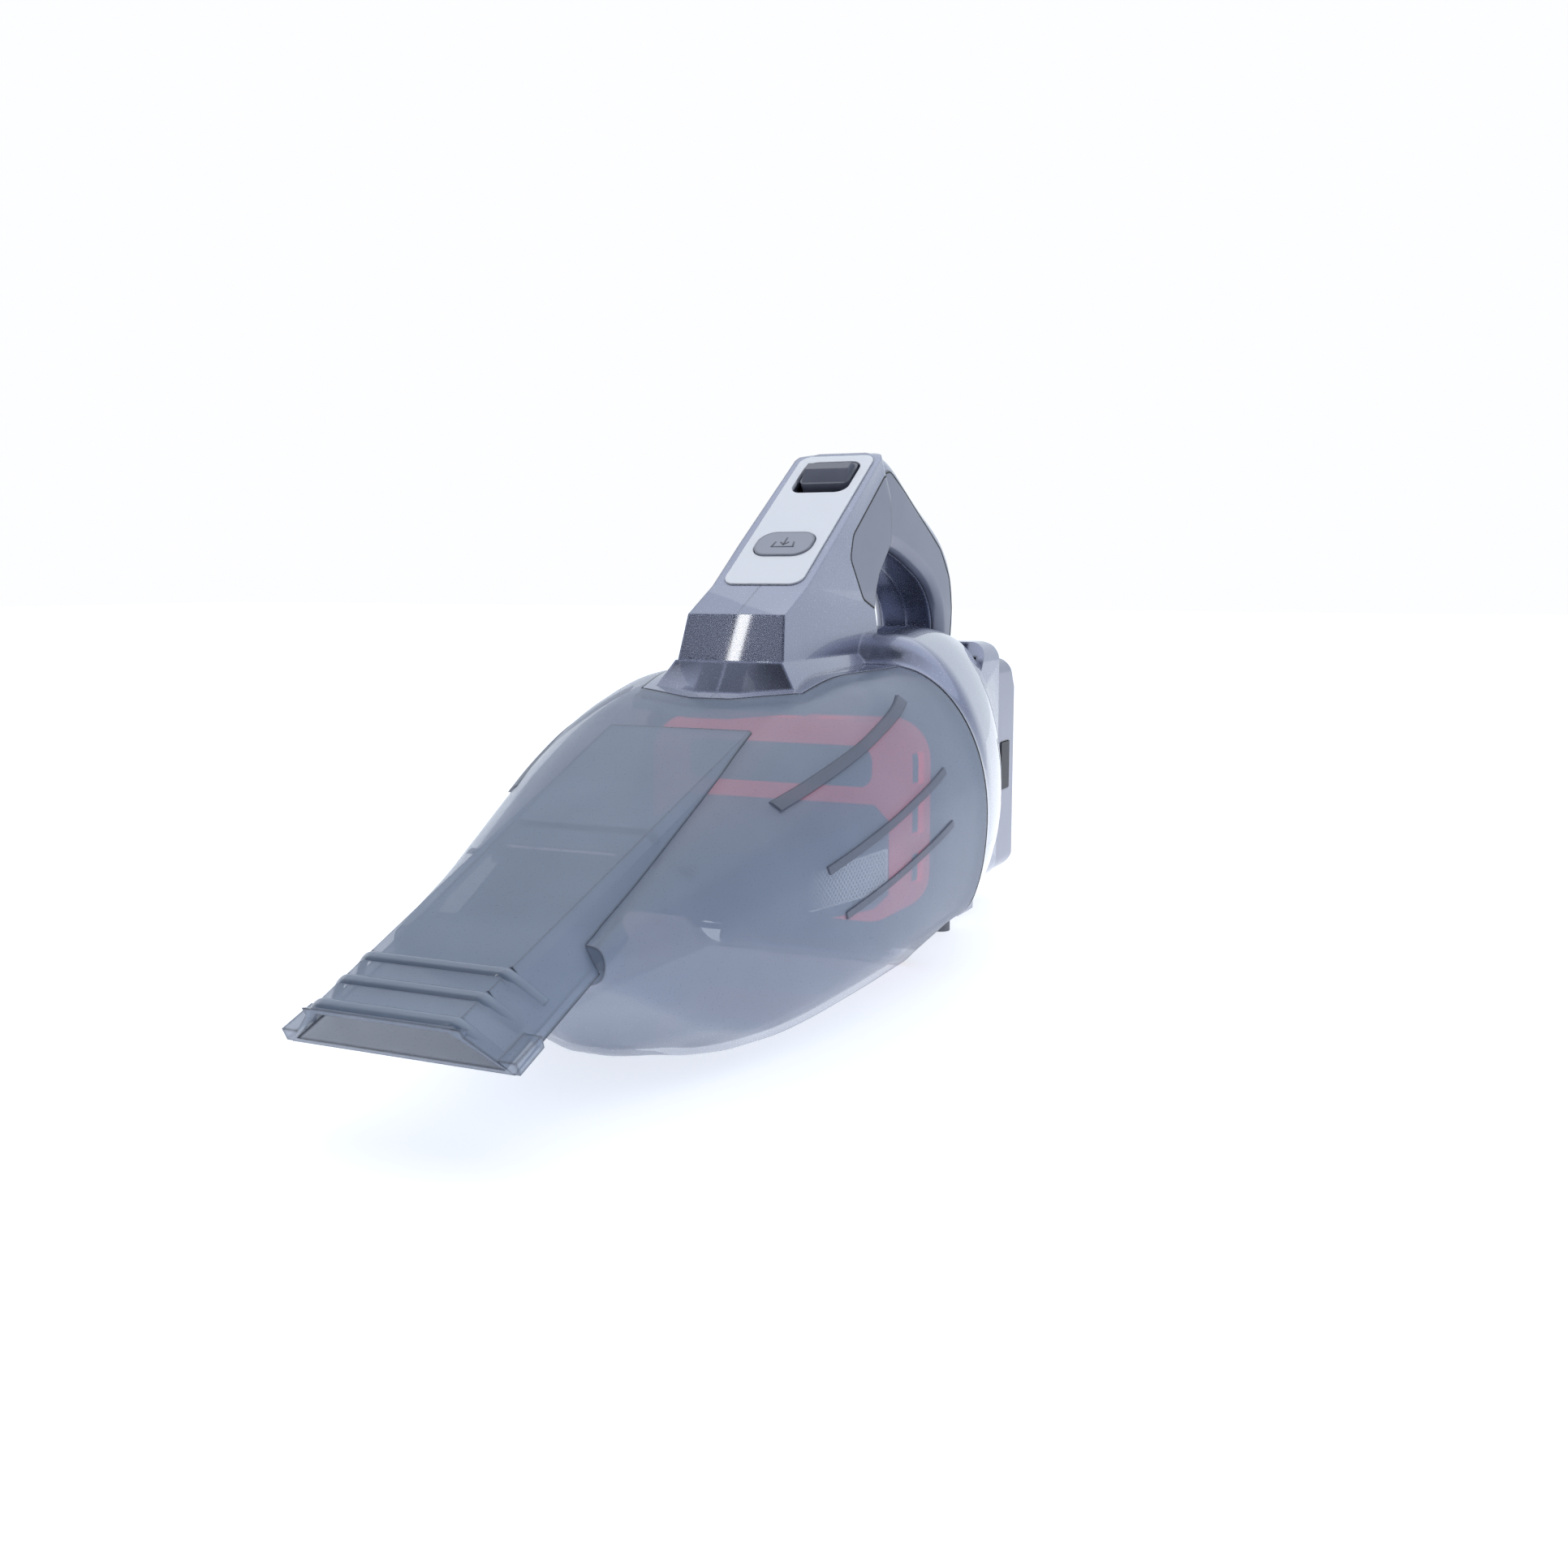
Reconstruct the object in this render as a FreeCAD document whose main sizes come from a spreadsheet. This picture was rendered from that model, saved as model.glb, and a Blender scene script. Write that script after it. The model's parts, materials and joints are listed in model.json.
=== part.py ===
"""Cordless handheld vacuum: swing-down dust bowl, filter pack, motor unit, handle and battery.

Frame in millimetres: +Z up, the nozzle points to -Y, X runs across. Z = 0 is the flat belly
that the vacuum rests on, and Y = 0 lies half way between the nozzle's lip and the battery's back.
"""
import FreeCAD
import Part
import math
import os
from collections import namedtuple
import Sketcher
from FreeCAD import Placement, Rotation, Vector

doc = FreeCAD.newDocument("handheld_vacuum")

# ---------------------------------------------------------------- driving sizes

SIZES = {
    # dust bowl
    "half_width": 77.5,         # half of the bowl's width at its rim
    "rim_height": 118.0,        # top of the rim above the floor
    "rim_place": 52.0,          # Y of the rim, where bowl and housing meet
    "bowl_length": 210.0,       # rim to the front end of the tub
    "bowl_wall": 2.2,
    "rim_gap": 1.2,             # open seam between bowl rim and housing
    "rib_width": 2.6,           # dark grip ribs on the bowl's sides
    "rib_height": 0.7,
    # nozzle
    "nozzle_length": 161.0,     # panel's rear edge to the lip, along Y
    "nozzle_slope": 20.9,       # degrees below level
    "nozzle_rear_half": 29.5,
    "nozzle_front_half": 25.0,
    "nozzle_base_half": 36.5,
    "nozzle_depth": 15.5,
    "nozzle_wall": 1.8,
    "ridge_width": 5.0,
    "ridge_step": 1.1,
    # inlet flap
    "flap_width": 54.0,
    "flap_thickness": 1.6,
    "flap_pin_radius": 1.0,
    # bowl hinge
    "hinge_height": 3.6,
    "hinge_setback": 4.2,       # hinge axis behind the rim
    "hinge_pin_radius": 1.3,
    "hinge_barrel_radius": 3.1,
    "hinge_length": 72.0,
    "running_gap": 0.05,        # radial, pins and shafts that turn
    "part_gap": 0.5,            # between parts that move past each other
    # motor housing
    "shell_wall": 2.6,
    "drum_length": 130.0,       # rim to the battery dock
    "hood_reach": 78.0,         # how far the hood runs forward over the bowl
    "hood_sink": 3.4,           # hood's thickness under the bowl's own surface
    "cover_height": 50.0,       # parting line of the lower cover
    "strut_half": 19.6,
    "pillar_round": 10.0,       # corners of the top end of the handle's pillar
    "grip_half": 16.5,
    "grip_round": 7.0,          # rounding of the grip's long edges
    "grip_panel": 4.5,          # thickness of the soft side panels
    "face_slope": 34.8,         # degrees, the control face
    "vent_width": 3.2,
    "vent_length": 26.0,
    "screw_radius": 1.6,
    "screw_head_radius": 3.0,
    "boss_radius": 4.6,
    # controls, along the control face
    "plate_half": 16.4,
    "plate_length": 90.0,
    "plate_thickness": 1.6,
    "plate_proud": 0.5,
    "empty_place": 27.0,
    "empty_half": 12.0,
    "empty_length": 15.5,
    "empty_travel": 3.0,
    "latch_pin_radius": 1.5,
    "control_gap": 0.4,
    "window_place": 75.0,
    "window_half": 12.4,
    "window_length": 23.0,
    "slider_half": 10.8,
    "slider_length": 15.6,
    # filter pack
    "filter_half": 54.0,
    "filter_low": 22.0,
    "filter_high": 98.0,
    "filter_wall": 2.6,
    "screen_half": 47.0,
    "screen_reach": 82.0,
    "screen_wall": 1.4,
    "pleat_pitch": 9.0,
    "pleat_sheet": 1.2,
    # motor and fan
    "axis_height": 64.0,
    "fan_radius": 36.0,
    "fan_disc": 1.8,
    "blade_count": 9,
    "blade_height": 9.0,
    "eye_radius": 20.0,
    "shroud_wall": 1.8,
    "motor_radius": 20.0,
    "motor_length": 46.0,
    "can_wall": 1.4,
    "shaft_radius": 1.6,
    # battery pack
    "pack_half": 38.6,
    "pack_depth": 27.4,
    "pack_low": 14.0,
    "pack_high": 114.0,
    "pack_wall": 1.9,
    "cell_radius": 9.1,
    "cell_length": 65.0,
    "cell_count": 5,
    "catch_travel": 2.0,
    # feet
    "foot_radius": 4.2,
    "foot_spread": 35.0,
    "foot_place": 120.0,
}

sheet = doc.addObject("Spreadsheet::Sheet", "Sizes")
for row, (alias, number) in enumerate(SIZES.items(), start=1):
    sheet.set("A%d" % row, alias)
    sheet.set("B%d" % row, str(number))
    sheet.setAlias("B%d" % row, alias)
doc.recompute()


def size(alias):
    """Value of a driving size, read from the sheet."""
    return float(sheet.get(alias))


X_AXIS, Y_AXIS, Z_AXIS = Vector(1, 0, 0), Vector(0, 1, 0), Vector(0, 0, 1)
RIM = size("rim_place")
HOUSING_FRONT = RIM + size("rim_gap")
DOCK = RIM + size("drum_length")
AXIS_Z = size("axis_height")
WIDE = size("half_width") / 77.5
TALL = size("rim_height") / 118.0
LONG = size("bowl_length") / 210.0
FAR = 400.0                     # reaches past everything

parts = {}


def keep(name, obj):
    """Register a document object as the sub-part called name."""
    obj.Label = name
    parts[name] = obj
    return obj


def shaped(name, shape):
    """Sub-part whose free-form shape is computed here from the sheet's sizes."""
    obj = doc.addObject("Part::Feature", name)
    obj.Shape = shape
    obj.Placement = Placement()
    return keep(name, obj)


# ---------------------------------------------------------------- shape helpers

def block(x0, x1, y0, y1, z0, z1):
    """Box between two corners."""
    return Part.makeBox(x1 - x0, y1 - y0, z1 - z0, Vector(x0, y0, z0))


def rod(radius, start, end):
    """Cylinder between two points."""
    run = Vector(*end) - Vector(*start)
    return Part.makeCylinder(radius, run.Length, Vector(*start), run)


def side_slab(points, half, start=None):
    """Side profile of (y, z) points, closed and extruded across X to both sides."""
    low = -half if start is None else start
    wire = Part.makePolygon([Vector(low, y, z) for y, z in points + points[:1]])
    return Part.Face(wire).extrude(Vector(half - low, 0, 0))


def largest(shape):
    return max(shape.Solids, key=lambda solid: solid.Volume)


def rounded_plate(half, start, end, low, high, corner):
    """Plate with rounded corners in its own X, Y frame."""
    plate = block(-half, half, start, end, low, high)
    upright = [e for e in plate.Edges if abs(e.tangentAt(e.FirstParameter).z) > 0.9]
    return plate.makeFillet(corner, upright)


Station = namedtuple("Station", "y top_half top wide wide_z crease crease_z foot foot_z")
AROUND = 64                     # points round each cross-section of a moulded shell
ALONG = 22                      # cross-sections along it
EASE = 3.0                      # how far corners are rounded off along the outline


def monotone(places, values, at):
    """Smooth value at a place, through the given ones and never past them."""
    steps = [(values[i + 1] - values[i]) / (places[i + 1] - places[i]) for i in range(len(places) - 1)]
    slopes = [steps[0]]
    for before, after in zip(steps, steps[1:]):
        slopes.append(0.0 if before * after <= 0 else 2 * before * after / (before + after))
    slopes.append(steps[-1])
    i = max(k for k in range(len(steps)) if k == 0 or places[k] <= at)
    run = places[i + 1] - places[i]
    t = (at - places[i]) / run
    return ((1 + 2 * t) * (1 - t) ** 2 * values[i] + t * (1 - t) ** 2 * run * slopes[i]
            + t * t * (3 - 2 * t) * values[i + 1] + t * t * (t - 1) * run * slopes[i + 1])


def station_at(stations, y):
    """Cross-section at y, between the given ones."""
    rows = sorted(stations, key=lambda s: s.y)
    places = [s.y for s in rows]
    fields = [monotone(places, [s[k] for s in rows], y) for k in range(1, len(rows[0]))]
    return Station(y, *fields)


def quarter(x0, z0, x1, z1, level_first):
    """Quarter-ellipse points after (x0, z0), up to (x1, z1)."""
    points = []
    for step in range(1, 13):
        turn = step * math.pi / 24
        if level_first:
            points.append((x0 + (x1 - x0) * math.sin(turn), z1 + (z0 - z1) * math.cos(turn)))
        else:
            points.append((x1 + (x0 - x1) * math.cos(turn), z0 + (z1 - z0) * math.sin(turn)))
    return points


def outline(station, inset):
    """Evenly spaced points round one cross-section, drawn in by inset, from the bottom's middle."""
    s = station
    top_half, top, wide = s.top_half - inset * 0.8, s.top - inset, s.wide - inset
    crease, crease_z = s.crease - inset * 0.9, s.crease_z + inset * 0.6
    foot, foot_z = max(s.foot - inset * 0.4, 0.5), s.foot_z + inset
    half = [(0.0, foot_z), (foot, foot_z), (crease, crease_z)]
    half += [(x, z) for x, z in reversed(quarter(wide, s.wide_z, crease, crease_z, False)[:-1])]
    half += [(wide, s.wide_z)]
    half += [(x, z) for x, z in reversed(quarter(top_half, top, wide, s.wide_z, True)[:-1])]
    half += [(top_half, top), (0.0, top)]
    loop = half + [(-x, z) for x, z in reversed(half[1:-1])] + half[:1]
    lengths = [0.0]
    for (x0, z0), (x1, z1) in zip(loop, loop[1:]):
        lengths.append(lengths[-1] + math.hypot(x1 - x0, z1 - z0))

    def along(distance):
        distance %= lengths[-1]
        k = max(i for i, length in enumerate(lengths[:-1]) if length <= distance)
        t = (distance - lengths[k]) / (lengths[k + 1] - lengths[k])
        return tuple(a + (b - a) * t for a, b in zip(loop[k], loop[k + 1]))

    points = []
    for step in range(AROUND + 1):
        middle = lengths[-1] * step / AROUND
        near = [along(middle + EASE * shift / 2) for shift in (-2, -1, 0, 1, 2)]
        points.append(tuple(sum(p[k] for p in near) / len(near) for k in (0, 1)))
    return points


def moulded(stations, inset=0.0, start=None, end=None):
    """Closed solid whose skin runs smoothly through the stations' outlines."""
    first = min(s.y for s in stations) if start is None else start
    last = max(s.y for s in stations) if end is None else end
    grid = []
    for step in range(ALONG + 1):
        y = first + (last - first) * step / ALONG
        grid.append([Vector(x, y, z) for x, z in outline(station_at(stations, y), inset)])
    skin = Part.BSplineSurface()
    skin.interpolate(grid)
    low, high = skin.bounds()[0], skin.bounds()[1]
    caps = [Part.Face(Part.Wire(skin.uIso(u).toShape())) for u in (low, high)]
    shell = Part.makeShell([skin.toShape()] + caps)
    shell.sewShape()
    solid = Part.Solid(shell)
    if solid.Volume < 0:
        solid.reverse()
    return solid


def section_plate(stations, place, inset, y0, y1):
    """Flat plate from y0 to y1 in the shape of the cross-section at a place."""
    points = outline(station_at(stations, place), inset)[:-1]
    curve = Part.BSplineCurve()
    curve.interpolate([Vector(x, y0, z) for x, z in points], PeriodicFlag=True)
    return Part.Face(Part.Wire(curve.toShape())).extrude(Vector(0, y1 - y0, 0))


# ---------------------------------------------------------------- bowl and nozzle

NOSE = RIM - size("bowl_length")
LIP = NOSE - 52.0
PANEL_REAR = LIP + size("nozzle_length")
SLOPE = math.radians(size("nozzle_slope"))
PANEL_TOP = 101.2 * TALL


def panel_z(y):
    """Height of the nozzle's top panel at y."""
    return PANEL_TOP + (y - PANEL_REAR) * math.tan(SLOPE)


def bowl_station(back, top_half, top, wide, wide_z, crease, crease_z, foot, foot_z):
    """Bowl cross-section at a distance in front of the rim."""
    return Station(RIM - back * LONG, top_half, top * TALL, wide * WIDE, wide_z * TALL,
                   crease * WIDE, crease_z * TALL, foot * WIDE, foot_z * TALL)


BOWL = [
    bowl_station(0, 37, 118, 77.5, 62, 65, 22, 42, -0.4),
    bowl_station(42, 33, 117, 76.2, 60.5, 62.5, 18.5, 43, -0.4),
    bowl_station(75, 31.5, 110.5, 73.2, 58, 59.5, 15, 43, -0.4),
    bowl_station(105, 31, 98.5, 68, 55, 54.5, 11.5, 41, -0.4),
    bowl_station(135, 31, 84.6, 60, 49.5, 48.5, 9, 31, -0.3),
    bowl_station(158, 31.6, 74, 53, 44.5, 44.5, 14.5, 9, 2),
    bowl_station(182, 32.5, 63, 45, 41, 40.5, 26, 2, 16),
    bowl_station(210, 33.8, 51, 36.4, 46, 34.6, 40.5, 2, 33),
]


def bowl_body(inset, nose=0.0, past=0.0):
    """Filled bowl, drawn in by inset, ending nose behind its front and past beyond its rim."""
    return moulded(BOWL, inset, NOSE + nose, RIM + past)


def below_floor():
    return block(-FAR, FAR, -FAR, FAR, -FAR, 0.0)


def hood_plan(grow):
    """Plan of the hood that covers the bowl's top, grown by grow, as a tall prism."""
    front, g = RIM - size("hood_reach"), grow
    outline = [(-32 - g, front + 8 - g), (-8, front - g), (8, front - g), (32 + g, front + 8 - g),
               (41 + g, HOUSING_FRONT), (41 + g, HOUSING_FRONT + 6), (-41 - g, HOUSING_FRONT + 6),
               (-41 - g, HOUSING_FRONT)]
    low = 60.0 * TALL
    wire = Part.makePolygon([Vector(x, y, low) for x, y in outline + outline[:1]])
    return Part.Face(wire).extrude(Vector(0, 0, FAR))


def nozzle_section(y, top_half, base_half, top, depth):
    """Trapezoid cross-section of the nozzle with eased top corners."""
    ease = 2.5
    outline = [(-top_half + ease, top), (top_half - ease, top), (top_half, top - ease),
               (base_half, top - depth), (-base_half, top - depth), (-top_half, top - ease)]
    return Part.makePolygon([Vector(x, y, z) for x, z in outline + outline[:1]])


def nozzle_solid(inset, extend=0.0):
    """Filled nozzle: a flat wedge from the panel's rear edge to the slanted mouth."""
    rear, front = PANEL_REAR, LIP - extend
    depth = size("nozzle_depth")
    rows = []
    for y, half, base, down in (
            (rear, size("nozzle_rear_half"), size("nozzle_rear_half") + 3, 8.0),
            (NOSE + 10, size("nozzle_rear_half") - 2.5, size("nozzle_base_half") - 2.2, depth + 1.0),
            (front, size("nozzle_front_half"), size("nozzle_base_half"), depth)):
        rows.append(nozzle_section(y, half - inset, base - inset, panel_z(y) - inset,
                                   down - 2 * inset))
    solid = Part.makeLoft(rows[:2], True, True).fuse(Part.makeLoft(rows[1:], True, True))
    return solid.removeSplitter()


def mouth_cutter():
    """Everything in front of the mouth's slanted plane."""
    top = panel_z(LIP)
    run = size("nozzle_depth")
    return side_slab([(LIP, top), (LIP + 10 * run / 15.5 + 10, top - run - 15.5),
                      (LIP - 60, top - run - 15.5), (LIP - 60, top + 30), (LIP - 30, top + 30)], 90)


def duct_space():
    """Air passage: mouth to the port that opens down into the bowl."""
    space = nozzle_solid(size("nozzle_wall"), 20.0)
    return space.common(block(-FAR, FAR, -FAR, NOSE + 45 * LONG, -FAR, FAR))


def duct_ring():
    """The duct's own walls where it runs inside the bowl, up to the flap."""
    ring = nozzle_solid(0.0).cut(nozzle_solid(size("nozzle_wall")))
    span = block(-FAR, FAR, NOSE + 1, FLAP_FOOT[0] - 0.3, -FAR, FAR)
    return ring.common(span).common(bowl_body(size("bowl_wall") * 0.5))


FLAP_PIN = (NOSE + 43.5, panel_z(NOSE + 43.5) - 10.4 * TALL)     # y, z of the flap's pin
FLAP_FOOT = (NOSE + 17.0, panel_z(NOSE + 17.0) - size("nozzle_depth") + 0.5)


def build_nozzle():
    outer = nozzle_solid(0.0)
    ridges = []
    for back in (0.0, 11.0, 21.5):
        y0 = LIP + back
        y1 = y0 + size("ridge_width")
        half = size("nozzle_front_half") + 0.4
        step = size("ridge_step")
        band = side_slab([(y0, panel_z(y0) - 5), (y1, panel_z(y1) - 5), (y1, panel_z(y1) + step),
                          (y0, panel_z(y0) + step)], half)
        ridges.append(band)
    flange_z = panel_z(LIP + 14) - size("nozzle_depth")
    flange = side_slab([(LIP + 8, flange_z - 2.2), (LIP + 19, flange_z + 2.2),
                        (LIP + 18, flange_z + 5.6), (LIP + 6, flange_z + 1.4)],
                       size("nozzle_base_half") + 1.5)
    outer = outer.fuse(ridges + [flange])
    shell = outer.cut([duct_space(), mouth_cutter(), bowl_body(0.0)])
    # under the panel, behind the duct, the cap is hollow
    hollow = nozzle_solid(size("nozzle_wall")).common(
        block(-FAR, FAR, NOSE + 48 * LONG, PANEL_REAR - 3, -FAR, FAR))
    shell = shell.cut(hollow)
    solids = sorted(shell.Solids, key=lambda s: s.Volume)
    return solids[-1]


HINGE = Vector(0, RIM + size("hinge_setback"), size("hinge_height"))
KNUCKLES = ((-34.0, -22.0), (22.0, 34.0))       # bowl's hinge barrels, along X


def hinge_rod(radius, start, end):
    return rod(radius, (start, HINGE.y, HINGE.z), (end, HINGE.y, HINGE.z))


CATCH_Y = RIM - size("hood_reach") + 27.0
CATCH_RISE = 2.4                # how far the catch bar stands above the recessed deck
CATCH_Z = station_at(BOWL, CATCH_Y).top - size("hood_sink") - size("part_gap") + CATCH_RISE


def build_bowl():
    wall, sink = size("bowl_wall"), size("hood_sink")
    gap = size("part_gap")
    recess = hood_plan(gap).cut(bowl_body(sink + gap, 0.0, 9.0))
    deck = hood_plan(gap + wall).cut(bowl_body(sink + gap + wall, 0.0, 9.0))
    cavity = bowl_body(wall, wall, 4.0).cut(deck)
    tub = bowl_body(0.0).cut(below_floor()).cut(recess).cut(cavity)
    tub = tub.fuse(duct_ring()).cut(duct_space())
    # catch bar on the recessed deck, which the latch hooks over
    bar = block(-9, 9, CATCH_Y, CATCH_Y + 3.0, CATCH_Z - 7, CATCH_Z)
    bar = bar.cut(bowl_body(sink + size("part_gap") + wall * 0.5))
    pin_y, pin_z = FLAP_PIN
    lugs = []
    for side in (-1, 1):
        inner = side * (size("flap_width") / 2 + size("part_gap"))
        outer = inner + side * 2.2
        lug = block(min(inner, outer), max(inner, outer), pin_y - 3, pin_y + 3, pin_z - 2.6, pin_z + 6)
        lugs.append(lug.cut(rod(size("flap_pin_radius"), (-FAR, pin_y, pin_z), (FAR, pin_y, pin_z))))
    barrels = []
    for x0, x1 in KNUCKLES:
        arm = block(x0, x1, RIM - 6, HINGE.y, 0.4, 2.6)
        barrel = hinge_rod(size("hinge_barrel_radius"), x0, x1)
        barrels.append(arm.fuse(barrel))
    bore = hinge_rod(size("hinge_pin_radius") + size("running_gap"), -FAR, FAR)
    lugs = [lug.common(bowl_body(wall * 0.5)) for lug in lugs]
    pin_bore = rod(size("flap_pin_radius"), (-FAR, pin_y, pin_z), (FAR, pin_y, pin_z))
    flap_room = block(-FAR, FAR, pin_y - 6, pin_y + 6, pin_z - 6, pin_z + 6)
    tub = tub.fuse([bar] + lugs + barrels).cut([bore, pin_bore.common(flap_room.common(bowl_body(0.5)))])
    return max(tub.Solids, key=lambda s: s.Volume)


def rib_line(y0, z0, y1, z1):
    """Slanted bar through the bowl's side wall, proud of it by the rib height."""
    run = math.hypot(y1 - y0, z1 - z0)
    ny, nz = -(z1 - z0) / run * size("rib_width") / 2, (y1 - y0) / run * size("rib_width") / 2
    return side_slab([(y0 - ny, z0 - nz), (y1 - ny, z1 - nz), (y1 + ny, z1 + nz), (y0 + ny, z0 + nz)],
                     FAR, 20.0)


# each rib: distance in front of the rim and height, at its front end and at its rear end
RIBS = [(128.5, 80.5, 37.5, 108.5), (119.5, 59.5, 36.5, 83.0), (110.5, 43.5, 36.5, 64.0)]


def build_ribs():
    proud = bowl_body(-size("rib_height")).cut(bowl_body(0.0))
    bars = []
    for back0, z0, back1, z1 in RIBS:
        start, end = RIM - back0 * LONG, RIM - back1 * LONG
        bar = rib_line(start, z0 * TALL, end, z1 * TALL).common(proud)
        bars += [bar, bar.mirror(Vector(0, 0, 0), X_AXIS)]
    return Part.makeCompound([s for b in bars for s in b.Solids])


shaped("nozzle", build_nozzle())
shaped("dust_bowl", build_bowl())
shaped("bowl_ribs", build_ribs())


def build_flap():
    """Leaning flap that shuts the duct, hung on its pin."""
    (py, pz), (fy, fz) = FLAP_PIN, FLAP_FOOT
    run = math.hypot(fy - py, fz - pz)
    uy, uz = (fy - py) / run, (fz - pz) / run
    ny, nz = -uz, uy                       # towards the inside of the bowl
    half, thick = size("flap_width") / 2, size("flap_thickness")
    lift = size("part_gap")
    corners = [(py + ny * lift, pz + nz * lift), (fy + ny * lift, fz + nz * lift),
               (fy + ny * (lift + thick), fz + nz * (lift + thick)),
               (py + ny * (lift + thick), pz + nz * (lift + thick))]
    eye = rod(2.2, (-half, py, pz), (half, py, pz))
    flap = side_slab(corners, half).fuse(eye)
    bore = rod(size("flap_pin_radius") + size("running_gap"), (-FAR, py, pz), (FAR, py, pz))
    return flap.cut(bore)


shaped("inlet_flap", build_flap())

# ---------------------------------------------------------------- motor housing

HIGH = size("rim_height") - 118.0          # shift of everything that rides on the rim's top
REAR = DOCK - 182.0                        # shift of everything that stands on the dock
FRONT = RIM - 52.0                         # shift of everything that stands on the hood
DEEP = size("drum_length") / 130.0


def drum_station(back, top_half, top, wide, wide_z, crease, crease_z, foot, foot_z):
    return Station(HOUSING_FRONT + back * DEEP, top_half, top + HIGH, wide * WIDE, wide_z * TALL,
                   crease * WIDE, crease_z * TALL, foot * WIDE, foot_z)


DRUM = [
    drum_station(0, 37, 118.4, 77.5, 62, 65, 22, 42, 1.2),
    drum_station(14, 30, 130, 75.3, 62, 62, 25, 40, 5),
    drum_station(48, 27, 131.5, 67.5, 64, 55, 26, 36, 8),
    drum_station(88, 25, 127.5, 54, 66, 45, 27, 32, 10),
    drum_station(129.4, 23, 112, 40, 66, 37, 28, 28, 14),
]


def at(y, z, rear=False):
    """Point of the handle's side profile, standing on the hood or on the dock."""
    return (y + (REAR if rear else FRONT), z + HIGH)


FACE_FOOT, FACE_TOP = at(13.9, 148.6), at(89.2, 200.9)
LEDGE = at(-5.6, 138.6)
STRUT = [at(-14.4, 108), LEDGE, FACE_FOOT, FACE_TOP, at(93.4, 202.0), at(98.4, 200.6), at(97, 166),
         at(84, 153), at(80, 140), at(82, 118), at(82, 104)]
PILLAR_END = 96.5               # top end of the pillar, along the control face
GRIP_BACK = [at(92, 202.2), at(103, 201.2), at(122, 193), at(147, 180.5, True), at(170, 169, True),
             at(184, 154, True), at(188.5, 137, True), at(186, 119, True)]
GRIP_FEET = [at(181, 106, True), at(60, 106), at(60, 178)]
GAP_TOP = [at(80.5, 141), at(84.5, 153), at(95, 161.5), at(113, 161.5), at(136, 155, True),
           at(155, 146.5, True), at(164.5, 137, True), at(167, 126, True)]
GAP_FEET = [at(167, 112, True), at(82, 112)]


def outline_face(curve_points, line_points, x):
    """Face in the plane X = x, bounded by a smooth run and straight lines that close it."""
    curve = Part.BSplineCurve()
    curve.interpolate([Vector(x, y, z) for y, z in curve_points])
    corners = [curve_points[-1]] + line_points + [curve_points[0]]
    lines = [Part.makeLine(Vector(x, *a), Vector(x, *b)) for a, b in zip(corners, corners[1:])]
    return Part.Face(Part.Wire([curve.toShape()] + lines))


def across(face_maker, half):
    """Extrude a side face to both sides of the middle."""
    return face_maker(-half).extrude(Vector(2 * half, 0, 0))


def gap_solid(half):
    return across(lambda x: outline_face(GAP_TOP, GAP_FEET, x), half)


def is_curved_side_edge(edge):
    """Whether an edge is one of the long curves in which the grip's sides meet its back or its gap."""
    return edge.Length > 60 and edge.BoundBox.XLength < 0.1 and edge.Curve.TypeId == "Part::GeomBSplineCurve"


def grip_solid(half):
    """Loop of the handle, rounded towards the palm and towards the fingers."""
    loop = largest(across(lambda x: outline_face(GRIP_BACK, GRIP_FEET, x), half).cut(gap_solid(2 * half)))
    return loop.makeFillet(size("grip_round"), [e for e in loop.Edges if is_curved_side_edge(e)])


SLOPE_FACE = math.radians(size("face_slope"))


def face_placement():
    """Frame of the control face: x across, y up the slope, z out of it."""
    return Placement(Vector(0, *FACE_FOOT), Rotation(X_AXIS, size("face_slope")))


def on_face(shape):
    """Move a shape drawn in the control face's frame to its place."""
    moved = shape.copy()
    moved.transformShape(face_placement().toMatrix(), True)
    return moved


def face_box(half, start, end, low, high, corner):
    return on_face(rounded_plate(half, start, end, low, high, corner))


def strut_solid(half):
    """Front pillar of the handle, wider at its foot, with the corners of its top end rounded off."""
    slab = side_slab(STRUT, half + 5)
    front = [(half + 4.5, 104), (half + 2.4, 117), (half, 139), (half + 0.4, 165), (half - 0.4, 204)]
    points = [(x, z + HIGH) for x, z in front] + [(-x, z + HIGH) for x, z in reversed(front)]
    wire = Part.makePolygon([Vector(x, -FAR, z) for x, z in points + points[:1]])
    end = face_box(half, -FAR, PILLAR_END, -70, 40, size("pillar_round"))
    foot = on_face(block(-2 * half, 2 * half, -FAR, PILLAR_END - 1.2 * size("pillar_round"), -FAR, 40))
    return slab.common(Part.Face(wire).extrude(Vector(0, 2 * FAR, 0))).common(end.fuse(foot))


def shoulder_solid():
    """Sloping foot that carries the pillar on the hood."""
    front = RIM - size("hood_reach")
    low = [(-33, front + 8), (-9, front + 0.2), (9, front + 0.2), (33, front + 8),
           (42, HOUSING_FRONT + 14), (42, HOUSING_FRONT + 40), (-42, HOUSING_FRONT + 40),
           (-42, HOUSING_FRONT + 14)]
    half = size("strut_half") + 2.0
    high = [(-half, front + 14), (-half * 0.4, front + 12.5), (half * 0.4, front + 12.5),
            (half, front + 14), (half, HOUSING_FRONT + 14), (half, HOUSING_FRONT + 30),
            (-half, HOUSING_FRONT + 30), (-half, HOUSING_FRONT + 14)]
    wires = []
    for z, plan in ((105 + HIGH, low), (122 + HIGH, high)):
        wires.append(Part.makePolygon([Vector(x, y, z) for x, y in plan + plan[:1]]))
    return Part.makeLoft(wires, True, True)


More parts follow.
